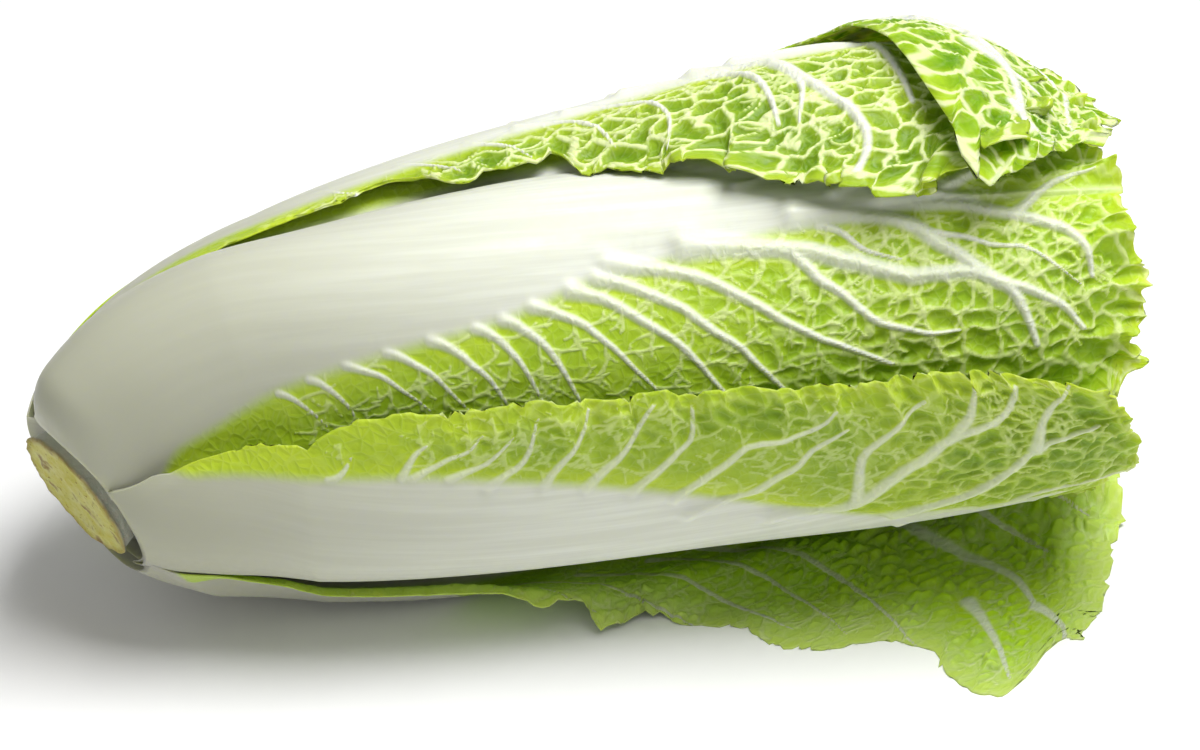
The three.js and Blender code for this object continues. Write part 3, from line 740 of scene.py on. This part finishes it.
def ruffles(leaf, dress, x, y, side_margin, tip_margin, seed, strength):
    """The margin's waves: how far each point moves out, along the leaf and across it."""
    height, lean, wave = dress["ruffle"]
    moved = []
    for at, other, margin, row in ((x, y, side_margin, 0.5), (y, x, tip_margin, 20.5)):
        side = np.where(other > 0, row, row + 9) if row < 1 else np.full_like(at, row)
        held = np.where(other > 0, *dress.get("held", (1, 1))) if row < 1 else 1.0
        uneven = 0.7 + 0.7 * noise(at / 29, side, seed)
        phase = 2 * math.pi * (at / wave + 0.6 * noise(at / 31, side + 3, seed + 1) + margin / 60)
        near = np.exp(-((margin / WAVES_REACH) ** 2))
        closer = np.exp(-((margin / SMALL_WAVES_REACH) ** 2))
        quick = 2 * math.pi * (2.6 * at / wave + 0.7 * noise(at / 11, side + 5, seed + 3))
        out = height * uneven * (0.5 - 0.5 * np.cos(phase)) * near
        out += 0.38 * height * (0.5 - 0.5 * np.cos(quick)) * closer
        out += 0.3 * height * (0.5 + 0.5 * noise(at / 3.4, margin / 5, seed + 2)) * closer
        along = lean * uneven * (0.5 - 0.5 * np.cos(phase)) * near + 0.2 * lean * np.sin(quick) * closer
        moved.append((out * strength * held, along * strength * held))
    return moved[0][0] + moved[1][0], moved[0][1], moved[1][1]


def leaf_shape(leaf, dress, settings):
    """The two faces of a leaf as grids of points, and what its finish reads at each point."""
    along, across = dress["grid"]
    u = np.linspace(0, 1, along + 1)
    t, v = np.meshgrid(u * (1.25 - 0.25 * u), np.linspace(-1, 1, across + 1), indexing="ij")
    seed = 100 * (leaf.order + 1)
    draw = np.random.default_rng(seed)
    length = leaf.tip - leaf.base
    side_margin = (1 - np.abs(v)) * leaf.half_width(t, v)
    tip_margin = (1 - t) * length
    margin = np.minimum(side_margin, tip_margin)
    te, ve = outline(leaf, dress, t, v, seed, settings.tooth_depth / MM)
    half = leaf.half_width(te, ve)
    x, y = te * length, ve * half

    rows = SIDE_VEINS.get(leaf.name) or along_rib(leaf, draw, settings.vein_spacing / MM)
    relief = settings.vein_height / MM
    veins = grow_veins(leaf, rows, draw)
    tall, vein = emboss(x, y, [one for one in veins if one[1][0] > BRANCH_RADIUS])
    low, small = emboss(x, y, [one for one in veins if one[1][0] <= BRANCH_RADIUS])
    size = dress["net"] * settings.net_size / MM
    warp = 2.4 * noise(x / 7, y / 7, seed + 5) + 0.8 * noise(x / 2.5, y / 2.5, seed + 15)
    thread, tint = cells(x * 0.8 + warp, y - warp, size, seed + 6)
    ahead, behind = rib_zone(leaf, te, half)
    off_rib = np.maximum(y - ahead, -behind - y) - WHITE_BASE * (1 - smoothstep(te, 0.03, 0.12))
    middle, reach = (ahead - behind) / 2, np.maximum((ahead + behind) / 2, 1.0)
    blade = smoothstep(off_rib, 0, 7)
    small_thread, _ = cells(x + 2 * warp, y - warp, size * 0.5, seed + 9)
    start, whole = dress["calm"]
    rough_margin = 0.8 * np.exp(-((margin / 12) ** 2)) * smoothstep(te, 0.25, 0.5)
    rough = np.maximum(smoothstep(te, start, whole), rough_margin)
    rough = blade * lerp(0.08, 1, rough)
    net = np.exp(-((thread / THREAD_RADIUS) ** 2)) * rough
    ridge = relief * np.maximum(np.maximum(tall, low), 0.35 * net)
    walls = np.minimum(thread, size * 0.45) / (size * 0.45)
    near_vein = np.exp(-((np.minimum(vein, small) / 2.0) ** 2))
    pocket = smoothstep(walls, -0.15, 1) * (1 - near_vein)
    crinkle = np.minimum(small_thread, size * 0.2) / (size * 0.2)
    pocket += 0.2 * crinkle * (1 - near_vein)
    depth = dress["pockets"] * settings.pocket_depth / MM
    swells = 0.75 + 0.5 * noise(x / 16, y / 16, seed + 8)
    sunk = depth * pocket * rough * swells * smoothstep(margin, 0, 4)

    shown = smoothstep(te, *dress["wavy"]) * blade
    out, along_by, across_by = ruffles(leaf, dress, x, y, side_margin, tip_margin, seed + 20, settings.frill)
    sway = 2.2 * (0.5 + 0.5 * noise(x / 17, y / 17, seed + 11))
    if "raised" in dress:
        by, first, whole, last, none, near, far = dress["raised"]
        span = smoothstep(te, first, whole) * (1 - smoothstep(te, last, none))
        sunk = sunk - by * span * smoothstep(y - ahead, near, far)
        sunk = sunk - dress.get("hull", 0) * span * np.exp(-(((y - HULL_MIDDLE) / HULL_WIDTH) ** 2))
        sunk = sunk - dress.get("lip", 0) * span * (v > 0) * (1 - smoothstep(side_margin, 0, LIP_WIDTH))
    at_side = np.exp(-((side_margin / SAG_WIDTH) ** 2))
    sagging = smoothstep(te, 0.45, 0.6) * (1 - smoothstep(te, 0.85, 1)) * at_side
    sunk = sunk + dress.get("sag", 0) * sagging * (v < 0)
    sunk = sunk + dress.get("droop", 0) * smoothstep(te, 0.86, 1.06)
    tm, vm = te + along_by * shown / length, ve + across_by * shown / half
    face = laid_out(leaf, tm, vm, np.zeros_like(te))
    normal = laid_out(leaf, te, ve, np.ones_like(te)) - laid_out(leaf, te, ve, np.zeros_like(te))
    normal /= np.maximum(np.linalg.norm(normal, axis=-1, keepdims=True), 1e-9)
    thickness = leaf.blade * lerp(0.5, 1, smoothstep(margin, 0, 4))
    crown = np.maximum(1 - ((y - middle) / (1.15 * reach)) ** 2, 0) ** 1.5
    thickness = thickness + rib_height(te) * leaf.rib_height * crown
    moved = shown * (out + sway) - sunk
    outer = face + normal * (thickness + moved + ridge)[..., None]
    inner = face + normal * (moved + (0.4 * ridge if dress.get("inside") else 0))[..., None]
    reaches = leaf.name in REACHING_THE_CUT
    if reaches:
        to_cut = np.clip(leaf.base + CUT_AT - 0.4 - 0.9 * thickness[:1], 0, REACHING_THE_CUT[leaf.name])
        to_cut = TO_THE_CUT * (to_cut * (1 - smoothstep(te, 0.0, 0.2)))[..., None]
        outer, inner = outer + to_cut, inner + to_cut
    outer[..., 2] = np.maximum(outer[..., 2], 0.0)
    inner[..., 2] = np.maximum(inner[..., 2], 0.4)
    white_until = dress.get("outer_white", 0)
    outer_white = 40 * (1 - smoothstep(te, white_until - 0.12, white_until)) * smoothstep(margin, 2, 6)
    finish = {
        "off_rib": (off_rib, off_rib - outer_white) if white_until else off_rib,
        "vein": vein,
        "small_vein": small,
        "thread": thread,
        "rough": rough,
        # pocket also sets the painted shade in the hollows and the painted light on the bulges, in
        # leaf_material.
        "pocket": pocket * rough,
        "margin": margin,
        "tint": lerp(0.5, tint, rough),
        "along": te,
        "cut": (1 - smoothstep(te * length, 0.2, 1.2)) * reaches,
    }
    flat = np.stack([x * MM, y * MM], -1)
    return outer, inner, finish, flat


def shell_mesh(name, fine, coarse, finish, flat, turned):
    """One closed mesh: a fine grid, a grid of half its rows and columns behind it, and a rim between."""
    rows, columns = fine.shape[:2]
    back = coarse[::2, ::2]
    back_rows, back_columns = back.shape[:2]
    points = np.concatenate([fine.reshape(-1, 3), back.reshape(-1, 3)]) * MM
    front_at = np.arange(rows * columns).reshape(rows, columns)
    back_at = rows * columns + np.arange(back_rows * back_columns).reshape(back_rows, back_columns)

    def quads(at):
        corners = [at[:-1, :-1], at[1:, :-1], at[1:, 1:], at[:-1, 1:]]
        return np.stack([c.ravel() for c in corners], -1)

    rim_fine = np.concatenate([front_at[:, 0], front_at[-1, 1:], front_at[-2::-1, -1], front_at[0, -2:0:-1]])
    rim_back = np.concatenate([back_at[:, 0], back_at[-1, 1:], back_at[-2::-1, -1], back_at[0, -2:0:-1]])
    a, b, c = rim_fine[::2], rim_fine[1::2], np.roll(rim_fine, -2)[::2]
    d, e = np.roll(rim_back, -1), rim_back
    faces = [quads(front_at), quads(back_at)[:, ::-1], np.stack([b, a, e, d, c], -1)]
    if turned:
        faces = [f[:, ::-1] for f in faces]
    counts = np.concatenate([np.full(len(f), f.shape[1]) for f in faces])
    loops = np.concatenate([f.ravel() for f in faces])
    mesh = bpy.data.meshes.new(name)
    mesh.vertices.add(len(points))
    mesh.vertices.foreach_set("co", points.astype(np.float32).ravel())
    mesh.loops.add(len(loops))
    mesh.loops.foreach_set("vertex_index", loops.astype(np.int32))
    mesh.polygons.add(len(counts))
    mesh.polygons.foreach_set("loop_start", (np.cumsum(counts) - counts).astype(np.int32))
    mesh.update(calc_edges=True)
    for key, values in finish.items():
        near, far = values if isinstance(values, tuple) else (values, values)
        both = np.concatenate([near.ravel(), far[::2, ::2].ravel()])
        mesh.attributes.new(key, "FLOAT", "POINT").data.foreach_set("value", both.astype(np.float32))
    both = np.concatenate([flat.reshape(-1, 2), flat[::2, ::2].reshape(-1, 2)])
    layer = mesh.uv_layers.new(name="flat")
    layer.data.foreach_set("uv", both[loops].astype(np.float32).ravel())
    mesh.polygons.foreach_set("use_smooth", np.ones(len(counts), bool))
    mesh.validate()
    return mesh


def signed_volume(mesh):
    """Six times the volume that the mesh encloses: below zero where its faces point inwards."""
    mesh.calc_loop_triangles()
    corners = np.zeros(len(mesh.loop_triangles) * 3, np.int32)
    mesh.loop_triangles.foreach_get("vertices", corners)
    points = np.zeros(len(mesh.vertices) * 3)
    mesh.vertices.foreach_get("co", points)
    a, b, c = points.reshape(-1, 3)[corners.reshape(-1, 3)].transpose(1, 0, 2)
    return float(np.sum(a * np.cross(b, c)))


def add_piece(name, mesh, node, material):
    """Links a mesh as a piece that rides on the head and stands for its CAD node."""
    piece = bpy.data.objects.new(name, mesh)
    bpy.context.scene.collection.objects.link(piece)
    mesh.materials.append(material)
    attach(piece, "root")
    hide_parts(node)
    return piece


def add_leaf(order, settings):
    """Builds one leaf over its CAD node."""
    leaf = Leaf(order)
    dress = DRESS.get(leaf.name, INNER_DRESS)
    outer, inner, finish, flat = leaf_shape(leaf, dress, settings)
    fine, coarse = (inner, outer) if dress.get("inside") else (outer, inner)
    mesh = shell_mesh(leaf.name + "_skin", fine, coarse, finish, flat, bool(dress.get("inside")))
    if signed_volume(mesh) < 0:
        mesh.flip_normals()
    return add_piece(leaf.name + "_skin", mesh, leaf.name, leaf_material(leaf, dress, settings))


# ---------------------------------------------------------------------------
# Finishes.
# ---------------------------------------------------------------------------
def add_node(tree, kind, inputs=None, **settings):
    """A shader node with its settings, and its inputs set or linked."""
    made = tree.nodes.new(kind)
    for key, value in settings.items():
        setattr(made, key, value)
    for key, value in (inputs or {}).items():
        if isinstance(value, bpy.types.NodeSocket):
            tree.links.new(value, made.inputs[key])
        else:
            made.inputs[key].default_value = value
    return made


def maths(tree, operation, a, b=0.0, clamp=False):
    return add_node(tree, "ShaderNodeMath", {0: a, 1: b}, operation=operation, use_clamp=clamp).outputs[0]


def added(tree, a, b):
    return maths(tree, "ADD", a, b)


def scaled(tree, a, b):
    return maths(tree, "MULTIPLY", a, b)


def mixed(tree, factor, a, b):
    """Colour a where factor is 0, b where it is 1."""
    return add_node(tree, "ShaderNodeMix", {0: factor, 6: a, 7: b}, data_type="RGBA").outputs[2]


def read(tree, name):
    """A number that the mesh holds at each point."""
    return add_node(tree, "ShaderNodeAttribute", attribute_name=name).outputs["Fac"]


def ramped(tree, value, low, high, to_low=0.0, to_high=1.0):
    inputs = {"Value": value, "From Min": low, "From Max": high, "To Min": to_low, "To Max": to_high}
    return add_node(tree, "ShaderNodeMapRange", inputs, interpolation_type="SMOOTHSTEP").outputs[0]


def speckle(tree, place, scale, detail=2.0):
    inputs = {"Vector": place, "Scale": scale, "Detail": detail, "Roughness": 0.55}
    return add_node(tree, "ShaderNodeTexNoise", inputs).outputs["Fac"]


def threads(tree, place, scale):
    """The distance to the borders of a net of cells, in parts of a cell."""
    inputs = {"Vector": place, "Scale": scale, "Randomness": 0.9}
    return add_node(tree, "ShaderNodeTexVoronoi", inputs, feature="DISTANCE_TO_EDGE").outputs["Distance"]


def rgba(colour):
    return (*colour, 1.0)


def between(a, b, share):
    return tuple(x + (y - x) * share for x, y in zip(a, b))


def new_material(name):
    material = bpy.data.materials.new(name)
    material.use_nodes = True
    tree = material.node_tree
    return material, tree, tree.nodes["Principled BSDF"]


def leaf_material(leaf, dress, settings):
    """Veined green blade and white rib, from what the leaf's mesh holds at each point."""
    material, tree, shader = new_material(leaf.name)
    flat = add_node(tree, "ShaderNodeUVMap", uv_map="flat").outputs[0]
    green = dress["green"]
    fresh = dress.get("fresh", 0.0)
    deep = between(settings.heart_colour, settings.deep_green, min(green * 1.6, 1))
    deep = rgba(between(deep, settings.fresh_green, fresh))
    light = between(settings.heart_colour, settings.light_green, green)
    light = rgba(between(light, settings.fresh_green, 0.7 * fresh))
    pale, white = rgba(settings.net_colour), rgba(settings.rib_colour)
    rough = read(tree, "rough")
    patches = speckle(tree, flat, PATCHES)
    grain = speckle(tree, flat, GRAIN)
    tone = ramped(tree, patches, 0.2, 0.8, 0.25, 0.65)
    tone = added(tree, tone, scaled(tree, added(tree, grain, -0.5), 0.35))
    painted = dress.get("painted", False)
    if painted:
        wavering = {"Vector": flat, "Scale": WAVERING_SCALE, "Detail": 2.0}
        bent = add_node(tree, "ShaderNodeTexNoise", wavering).outputs["Color"]
        by = {0: bent, 1: (WAVERING,) * 3}
        bent = add_node(tree, "ShaderNodeVectorMath", by, operation="MULTIPLY").outputs[0]
        bent = add_node(tree, "ShaderNodeVectorMath", {0: flat, 1: bent}, operation="ADD").outputs[0]
        painted_net = threads(tree, bent, 1 / (dress["net"] * settings.net_size))
        pocket = scaled(tree, ramped(tree, painted_net, 0.0, 0.4), rough)
    else:
        pocket = read(tree, "pocket")
    # Painted shade and light: the pockets are darker where they are hollows, on the outer faces, and lighter
    # where they bulge, on the inner face.
    tone = added(tree, tone, scaled(tree, pocket, 0.4 if dress.get("inside") else -0.4))
    tone = added(tree, tone, ramped(tree, read(tree, "off_rib"), 0.0, 12.0, 0.4, 0.0))
    tone = added(tree, tone, ramped(tree, read(tree, "margin"), 0.0, 8.0, 0.35, 0.0))
    tone = added(tree, tone, ramped(tree, read(tree, "vein"), 1.0, 3.5, 0.3, 0.0))
    tone = maths(tree, "ADD", tone, scaled(tree, added(tree, read(tree, "tint"), -0.5), 0.14), clamp=True)
    blade = mixed(tree, tone, deep, light)
    hair = ramped(tree, threads(tree, flat, HAIRLINES), 0.02, 0.1, 0.06, 0.0)
    blade = mixed(tree, hair, blade, pale)
    veined = dress["veined"]
    if painted:
        net = scaled(tree, ramped(tree, painted_net, 0.03, 0.13, 0.85 * veined, 0.0), rough)
    else:
        net = scaled(tree, ramped(tree, read(tree, "thread"), 0.2, 0.8, 0.85 * veined, 0.0), rough)
    blade = mixed(tree, net, blade, pale)
    shows = min(0.45 + 0.5 * veined, 0.9)
    blade = mixed(tree, ramped(tree, read(tree, "small_vein"), 0.4, 1.7, 0.6 * shows, 0.0), blade, pale)
    edge = ramped(tree, read(tree, "margin"), 3.0, 24.0, dress.get("pale_margin", 0.0), 0.0)
    blade = mixed(tree, edge, blade, pale)
    blade = mixed(tree, ramped(tree, read(tree, "vein"), 0.7, 1.9, 0.2 + 0.8 * shows, 0.0), blade, white)
    stretched = add_node(tree, "ShaderNodeMapping", {"Vector": flat, "Scale": GROOVES}).outputs[0]
    grooves = speckle(tree, stretched, 1.0, 3.0)
    shade = rgba(between(settings.rib_colour, settings.rib_shade, 0.3))
    rib = mixed(tree, ramped(tree, grooves, 0.35, 0.7), shade, white)
    # Painted shade, partly the base's own greyer colour: towards each leaf's base the rib turns to the rib
    # shade.
    rib = mixed(tree, ramped(tree, read(tree, "along"), 0.05, 0.55, 1.0, 0.0), rib, rgba(settings.rib_shade))
    on_rib = ramped(tree, read(tree, "off_rib"), -2.0, 2.5, 1.0, 0.0)
    colour = mixed(tree, on_rib, blade, rib)
    colour = mixed(tree, scaled(tree, read(tree, "cut"), 0.8), colour, rgba(settings.cut_colour))
    tree.links.new(colour, shader.inputs["Base Color"])
    tree.links.new(ramped(tree, grain, 0.3, 0.7, 0.34, 0.5), shader.inputs["Roughness"])
    relief = maths(tree, "MINIMUM", threads(tree, flat, HAIRLINES), 0.25)
    relief = added(tree, scaled(tree, relief, -1.4), scaled(tree, grain, 0.5))
    relief = added(tree, relief, ramped(tree, read(tree, "small_vein"), 0.0, 2.0, 0.5, 0.0))
    relief = added(tree, relief, ramped(tree, read(tree, "vein"), 0.0, 2.0, 1.2, 0.0))
    if painted:
        relief = added(tree, relief, scaled(tree, pocket, -1.6))
    relief = maths(tree, "MULTIPLY", relief, maths(tree, "SUBTRACT", 1.0, on_rib))
    relief = added(tree, relief, scaled(tree, grooves, 0.2))
    bump = add_node(tree, "ShaderNodeBump", {"Height": relief, "Strength": 0.6, "Distance": 0.0007})
    tree.links.new(bump.outputs[0], shader.inputs["Normal"])
    shader.inputs["Subsurface Weight"].default_value = 0.4
    shader.inputs["Subsurface Radius"].default_value = (0.9, 1.0, 0.25)
    shader.inputs["Subsurface Scale"].default_value = 0.004
    shader.inputs["Specular IOR Level"].default_value = 0.22
    return material


def core_material(settings):
    """The core: a yellow green cut face with brown pits and a dry rim, and pale flesh beside it."""
    material, tree, shader = new_material("cut_butt")
    place = add_node(tree, "ShaderNodeTexCoord").outputs["Object"]
    blotch = speckle(tree, place, 110.0, 4.0)
    fine = speckle(tree, place, 700.0, 3.0)
    flesh = mixed(tree, ramped(tree, blotch, 0.35, 0.65), rgba(settings.cut_colour),
                  rgba(between(settings.cut_colour, (0.6, 0.6, 0.28), 0.6)))
    spots = ramped(tree, blotch, 0.56, 0.66)
    spots = maths(tree, "MAXIMUM", spots, ramped(tree, fine, 0.6, 0.72))
    flesh = mixed(tree, maths(tree, "MULTIPLY", spots, 0.8), flesh, rgba(settings.bruise_colour))
    flesh = mixed(tree, maths(tree, "MULTIPLY", read(tree, "rim"), 0.55), flesh, rgba(settings.bruise_colour))
    beside = rgba(between(settings.rib_shade, settings.rib_colour, 0.4))
    flesh = mixed(tree, read(tree, "grown"), flesh, beside)
    tree.links.new(flesh, shader.inputs["Base Color"])
    tree.links.new(ramped(tree, fine, 0.3, 0.7, 0.55, 0.8), shader.inputs["Roughness"])
    bump = add_node(tree, "ShaderNodeBump", {"Height": fine, "Strength": 0.6, "Distance": 0.0008})
    tree.links.new(bump.outputs[0], shader.inputs["Normal"])
    shader.inputs["Subsurface Weight"].default_value = 0.15
    shader.inputs["Subsurface Scale"].default_value = 0.002
    return material


def core_mesh(name):
    """The core: an uneven cut face with a ring inside its rim, and the cone the leaves grow from."""
    turns, rings = 160, 22
    angle = np.linspace(0, 2 * math.pi, turns, endpoint=False)
    butt = CORE_RADIUS - 0.2
    face_radii = np.linspace(0.5, butt - 0.4, rings)
    rows = [(r, -CUT_AT, 1.0) for r in face_radii]
    rows += [(butt, -CUT_AT + 0.4, 0.8), (butt - 0.1, -CUT_AT + 0.9, 0.3), (butt - 0.8, -CUT_AT + 1.5, 0.0)]
    for i in range(20):
        up = i / 19
        rows.append((lerp(CORE_RADIUS, CORE_TOP_RADIUS, up) - CLEARANCE, CORE_HEIGHT * up, 0.0))
    rows.append((1.0, CORE_HEIGHT + 4.5, 0.0))
    points, rim, grown = [], [], []
    for radius, height, cut in rows:
        x, y = radius * np.cos(angle), radius * np.sin(angle)
        uneven = cut * (0.45 * noise(x / 5, y / 5, 3) + 0.2 * noise(x / 1.7, y / 1.7, 4))
        ring = cut * 0.5 * math.exp(-(((radius - RING_RADIUS) / RING_WIDTH) ** 2))
        lumps = noise(np.cos(angle) * 2.2, np.sin(angle) * 2.2, 5)
        wobble = 1 + max(cut, 0.3) * 0.06 * lumps * (radius / butt)
        points.append(lay_down(np.full(turns, height) + uneven - ring, y * wobble, x * wobble))
        rim.append(np.full(turns, smoothstep(radius, butt - 3, butt) if cut else 0.0))
        grown.append(np.full(turns, 1.0 - cut))
    points, rim, grown = (np.concatenate(rows_of) for rows_of in (points, rim, grown))
    start, end = lay_down(np.array(-CUT_AT), 0.0, 0.0), lay_down(np.array(CORE_HEIGHT + 5.0), 0.0, 0.0)
    count = len(rows)
    points = np.concatenate([points, start[None], end[None]]) * MM
    faces = []
    for i in range(count - 1):
        for j in range(turns):
            k = (j + 1) % turns
            faces.append((i * turns + j, i * turns + k, (i + 1) * turns + k, (i + 1) * turns + j))
    first, last = count * turns, count * turns + 1
    for j in range(turns):
        k = (j + 1) % turns
        faces.append((first, k, j))
        faces.append((last, (count - 1) * turns + j, (count - 1) * turns + k))
    mesh = bpy.data.meshes.new(name)
    mesh.from_pydata(points.tolist(), [], faces)
    for key, values in (("rim", rim), ("grown", grown)):
        values = np.concatenate([values, [0, 0]]).astype(np.float32)
        mesh.attributes.new(key, "FLOAT", "POINT").data.foreach_set("value", values)
    mesh.polygons.foreach_set("use_smooth", np.ones(len(mesh.polygons), bool))
    if signed_volume(mesh) < 0:
        mesh.flip_normals()
    return mesh


# ---------------------------------------------------------------------------
# The add-on.
# ---------------------------------------------------------------------------
def srgb(red, green, blue):
    """Blender's own values of a colour given from 0 to 255."""
    shares = (c / 255 for c in (red, green, blue))
    return tuple(c / 12.92 if c <= 0.04045 else ((c + 0.055) / 1.055) ** 2.4 for c in shares)


def colour_property(name, description, default):
    return FloatVectorProperty(name=name, description=description, subtype="COLOR", size=3, min=0, max=1,
                               default=default)


def length_property(name, description, default, largest):
    return FloatProperty(name=name, description=description, subtype="DISTANCE", unit="LENGTH", min=0,
                         max=largest, default=default)


class CabbageSettings(bpy.types.PropertyGroup):
    """Sizes and colours that a user may change before the head is dressed."""

    vein_spacing: length_property("Vein spacing", "Between the side veins along the rib", 0.0105, 0.05)
    vein_height: length_property("Vein height", "How far a vein of 1 mm radius stands out", 0.0010, 0.004)
    net_size: length_property("Net size", "Width of one cell of the vein net", 0.0062, 0.03)
    pocket_depth: length_property("Pocket depth", "How deep the blade sinks between its veins", 0.0011, 0.005)
    tooth_depth: length_property("Tooth depth", "How deep the margin is cut between its teeth", 0.0012, 0.01)
    frill: FloatProperty(name="Frill", description="How strongly the margins wave", default=1.0, min=0, max=3)
    # The mix of deep and light green also carries painted shade in the pockets of the outer faces and painted
    # light on those of the inner face.
    deep_green: colour_property("Deep green", "The outer blades between their veins", srgb(84, 130, 0))
    light_green: colour_property("Light green", "The outer blades near their veins", srgb(152, 188, 10))
    fresh_green: colour_property("Fresh green", "The purer green of some blades", srgb(150, 204, 0))
    heart_colour: colour_property("Heart colour", "The blades of the innermost leaves", srgb(206, 218, 70))
    net_colour: colour_property("Net colour", "The small veins", srgb(219, 230, 170))
    rib_colour: colour_property("Rib colour", "The ribs and the large veins", srgb(220, 223, 210))
    # Towards the leaf bases the rib shade is partly painted shade and partly the ribs' greyer colour.
    rib_shade: colour_property("Rib shade", "The faint grooves of the ribs", srgb(176, 177, 157))
    cut_colour: colour_property("Cut colour", "The face of the cut butt", srgb(186, 180, 72))
    bruise_colour: colour_property("Bruise colour", "The brown marks on the cut butt", srgb(120, 88, 30))


class StageSettings(bpy.types.PropertyGroup):
    """The floor, the lights and the camera's distance."""

    floor_colour: colour_property("Floor colour", "The plain floor", srgb(244, 244, 244))
    key_power: FloatProperty(name="Key light", description="Power of the large light above", default=17.5,
                             min=0, unit="POWER")
    fill_power: FloatProperty(name="Fill light", description="Power of the light in front", default=0.25,
                              min=0, unit="POWER")
    world_strength: FloatProperty(name="Surroundings", description="Strength of the even light all round",
                                  default=0.34, min=0)
    camera_distance: length_property("Camera distance", "From the middle of the head", 1.15, 10)


class CABBAGE_OT_core(bpy.types.Operator):
    """Build the core with its cut face"""

    bl_idname = "cabbage.core"
    bl_label = "Core"

    def execute(self, context):
        settings = context.scene.cabbage
        add_piece("core_cut", core_mesh("core_cut"), "core", core_material(settings))
        return {"FINISHED"}


class CABBAGE_OT_outer_leaves(bpy.types.Operator):
    """Build the large leaves that show on the outside of the head"""

    bl_idname = "cabbage.outer_leaves"
    bl_label = "Outer leaves"

    def execute(self, context):
        for order in range(len(OUTER_LEAVES)):
            add_leaf(order, context.scene.cabbage)
        return {"FINISHED"}


class CABBAGE_OT_inner_leaves(bpy.types.Operator):
    """Build the leaves of the heart, whose tips show at the open end"""

    bl_idname = "cabbage.inner_leaves"
    bl_label = "Inner leaves"

    def execute(self, context):
        for order in range(len(OUTER_LEAVES), len(OUTER_LEAVES) + INNER_LEAVES):
            add_leaf(order, context.scene.cabbage)
        return {"FINISHED"}


def area_light(name, place, target, size, power, colour=(1, 1, 1)):
    data = bpy.data.lights.new(name, "AREA")
    data.shape, data.size, data.size_y = "RECTANGLE", size[0], size[1]
    data.energy, data.color = power, colour
    lamp = bpy.data.objects.new(name, data)
    bpy.context.scene.collection.objects.link(lamp)
    lamp.location = place
    lamp.rotation_euler = (Vector(target) - Vector(place)).to_track_quat("-Z", "Y").to_euler()
    return lamp


class CABBAGE_OT_stage(bpy.types.Operator):
    """Set the pale floor, the soft studio light and the camera"""

    bl_idname = "cabbage.stage"
    bl_label = "Stage"

    def execute(self, context):
        settings = context.scene.cabbage_stage
        low, high = CAD_BOX
        middle = (low + high) / 2
        mesh = bpy.data.meshes.new("floor")
        far = 4.0
        mesh.from_pydata([(-far, -far, 0), (far, -far, 0), (far, far, 0), (-far, far, 0)], [], [(0, 1, 2, 3)])
        floor = bpy.data.objects.new("floor", mesh)
        context.scene.collection.objects.link(floor)
        material, tree, shader = new_material("floor")
        place = add_node(tree, "ShaderNodeTexCoord").outputs["Object"]
        tone = ramped(tree, speckle(tree, place, 30.0), 0.3, 0.7)
        pale = rgba(settings.floor_colour)
        tree.links.new(mixed(tree, tone, rgba(between(settings.floor_colour, (0, 0, 0), 0.015)), pale),
                       shader.inputs["Base Color"])
        shader.inputs["Roughness"].default_value = 0.8
        mesh.materials.append(material)
        world = bpy.data.worlds.new("studio")
        world.use_nodes = True
        world.node_tree.nodes["Background"].inputs[0].default_value = (1, 1, 1, 1)
        world.node_tree.nodes["Background"].inputs[1].default_value = settings.world_strength
        context.scene.world = world
        context.scene.view_settings.view_transform = "Standard"
        area_light("key", KEY_PLACE, middle, KEY_SIZE, settings.key_power)
        area_light("fill", FILL_PLACE, middle, FILL_SIZE, settings.fill_power)
        turn, rise = math.radians(CAMERA_AZIMUTH), math.radians(CAMERA_ELEVATION)
        back = Vector((math.sin(turn) * math.cos(rise), -math.cos(turn) * math.cos(rise), math.sin(rise)))
        right = Vector((math.cos(turn), math.sin(turn), 0))
        aim = middle + right * CAMERA_ASIDE + back.cross(right) * -CAMERA_BELOW
        data = bpy.data.cameras.new("camera")
        data.sensor_width, data.lens = CAMERA_SENSOR, CAMERA_LENS
        camera = bpy.data.objects.new("camera", data)
        context.scene.collection.objects.link(camera)
        camera.location = aim + back * settings.camera_distance
        camera.rotation_euler = back.to_track_quat("Z", "Y").to_euler()
        context.scene.camera = camera
        return {"FINISHED"}


class CABBAGE_PT_panel(bpy.types.Panel):
    """The head's sizes and colours, and a button for each group of pieces"""

    bl_idname = "CABBAGE_PT_panel"
    bl_label = "Napa Cabbage"
    bl_space_type = "VIEW_3D"
    bl_region_type = "UI"
    bl_category = "Cabbage"

    def draw(self, context):
        for group in (context.scene.cabbage, context.scene.cabbage_stage):
            box = self.layout.box()
            for name in group.__annotations__:
                box.prop(group, name)
        for operator in OPERATORS:
            self.layout.operator(operator.bl_idname)


OPERATORS = (CABBAGE_OT_core, CABBAGE_OT_outer_leaves, CABBAGE_OT_inner_leaves, CABBAGE_OT_stage)
CLASSES = (CabbageSettings, StageSettings, *OPERATORS, CABBAGE_PT_panel)


def register():
    for cls in CLASSES:
        bpy.utils.register_class(cls)
    bpy.types.Scene.cabbage = PointerProperty(type=CabbageSettings)
    bpy.types.Scene.cabbage_stage = PointerProperty(type=StageSettings)


def unregister():
    del bpy.types.Scene.cabbage_stage
    del bpy.types.Scene.cabbage
    for cls in reversed(CLASSES):
        bpy.utils.unregister_class(cls)


def main():
    """Dresses the head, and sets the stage."""
    register()
    bpy.ops.cabbage.core()
    bpy.ops.cabbage.outer_leaves()
    bpy.ops.cabbage.inner_leaves()
    bpy.ops.cabbage.stage()


if __name__ == "__main__":
    main()
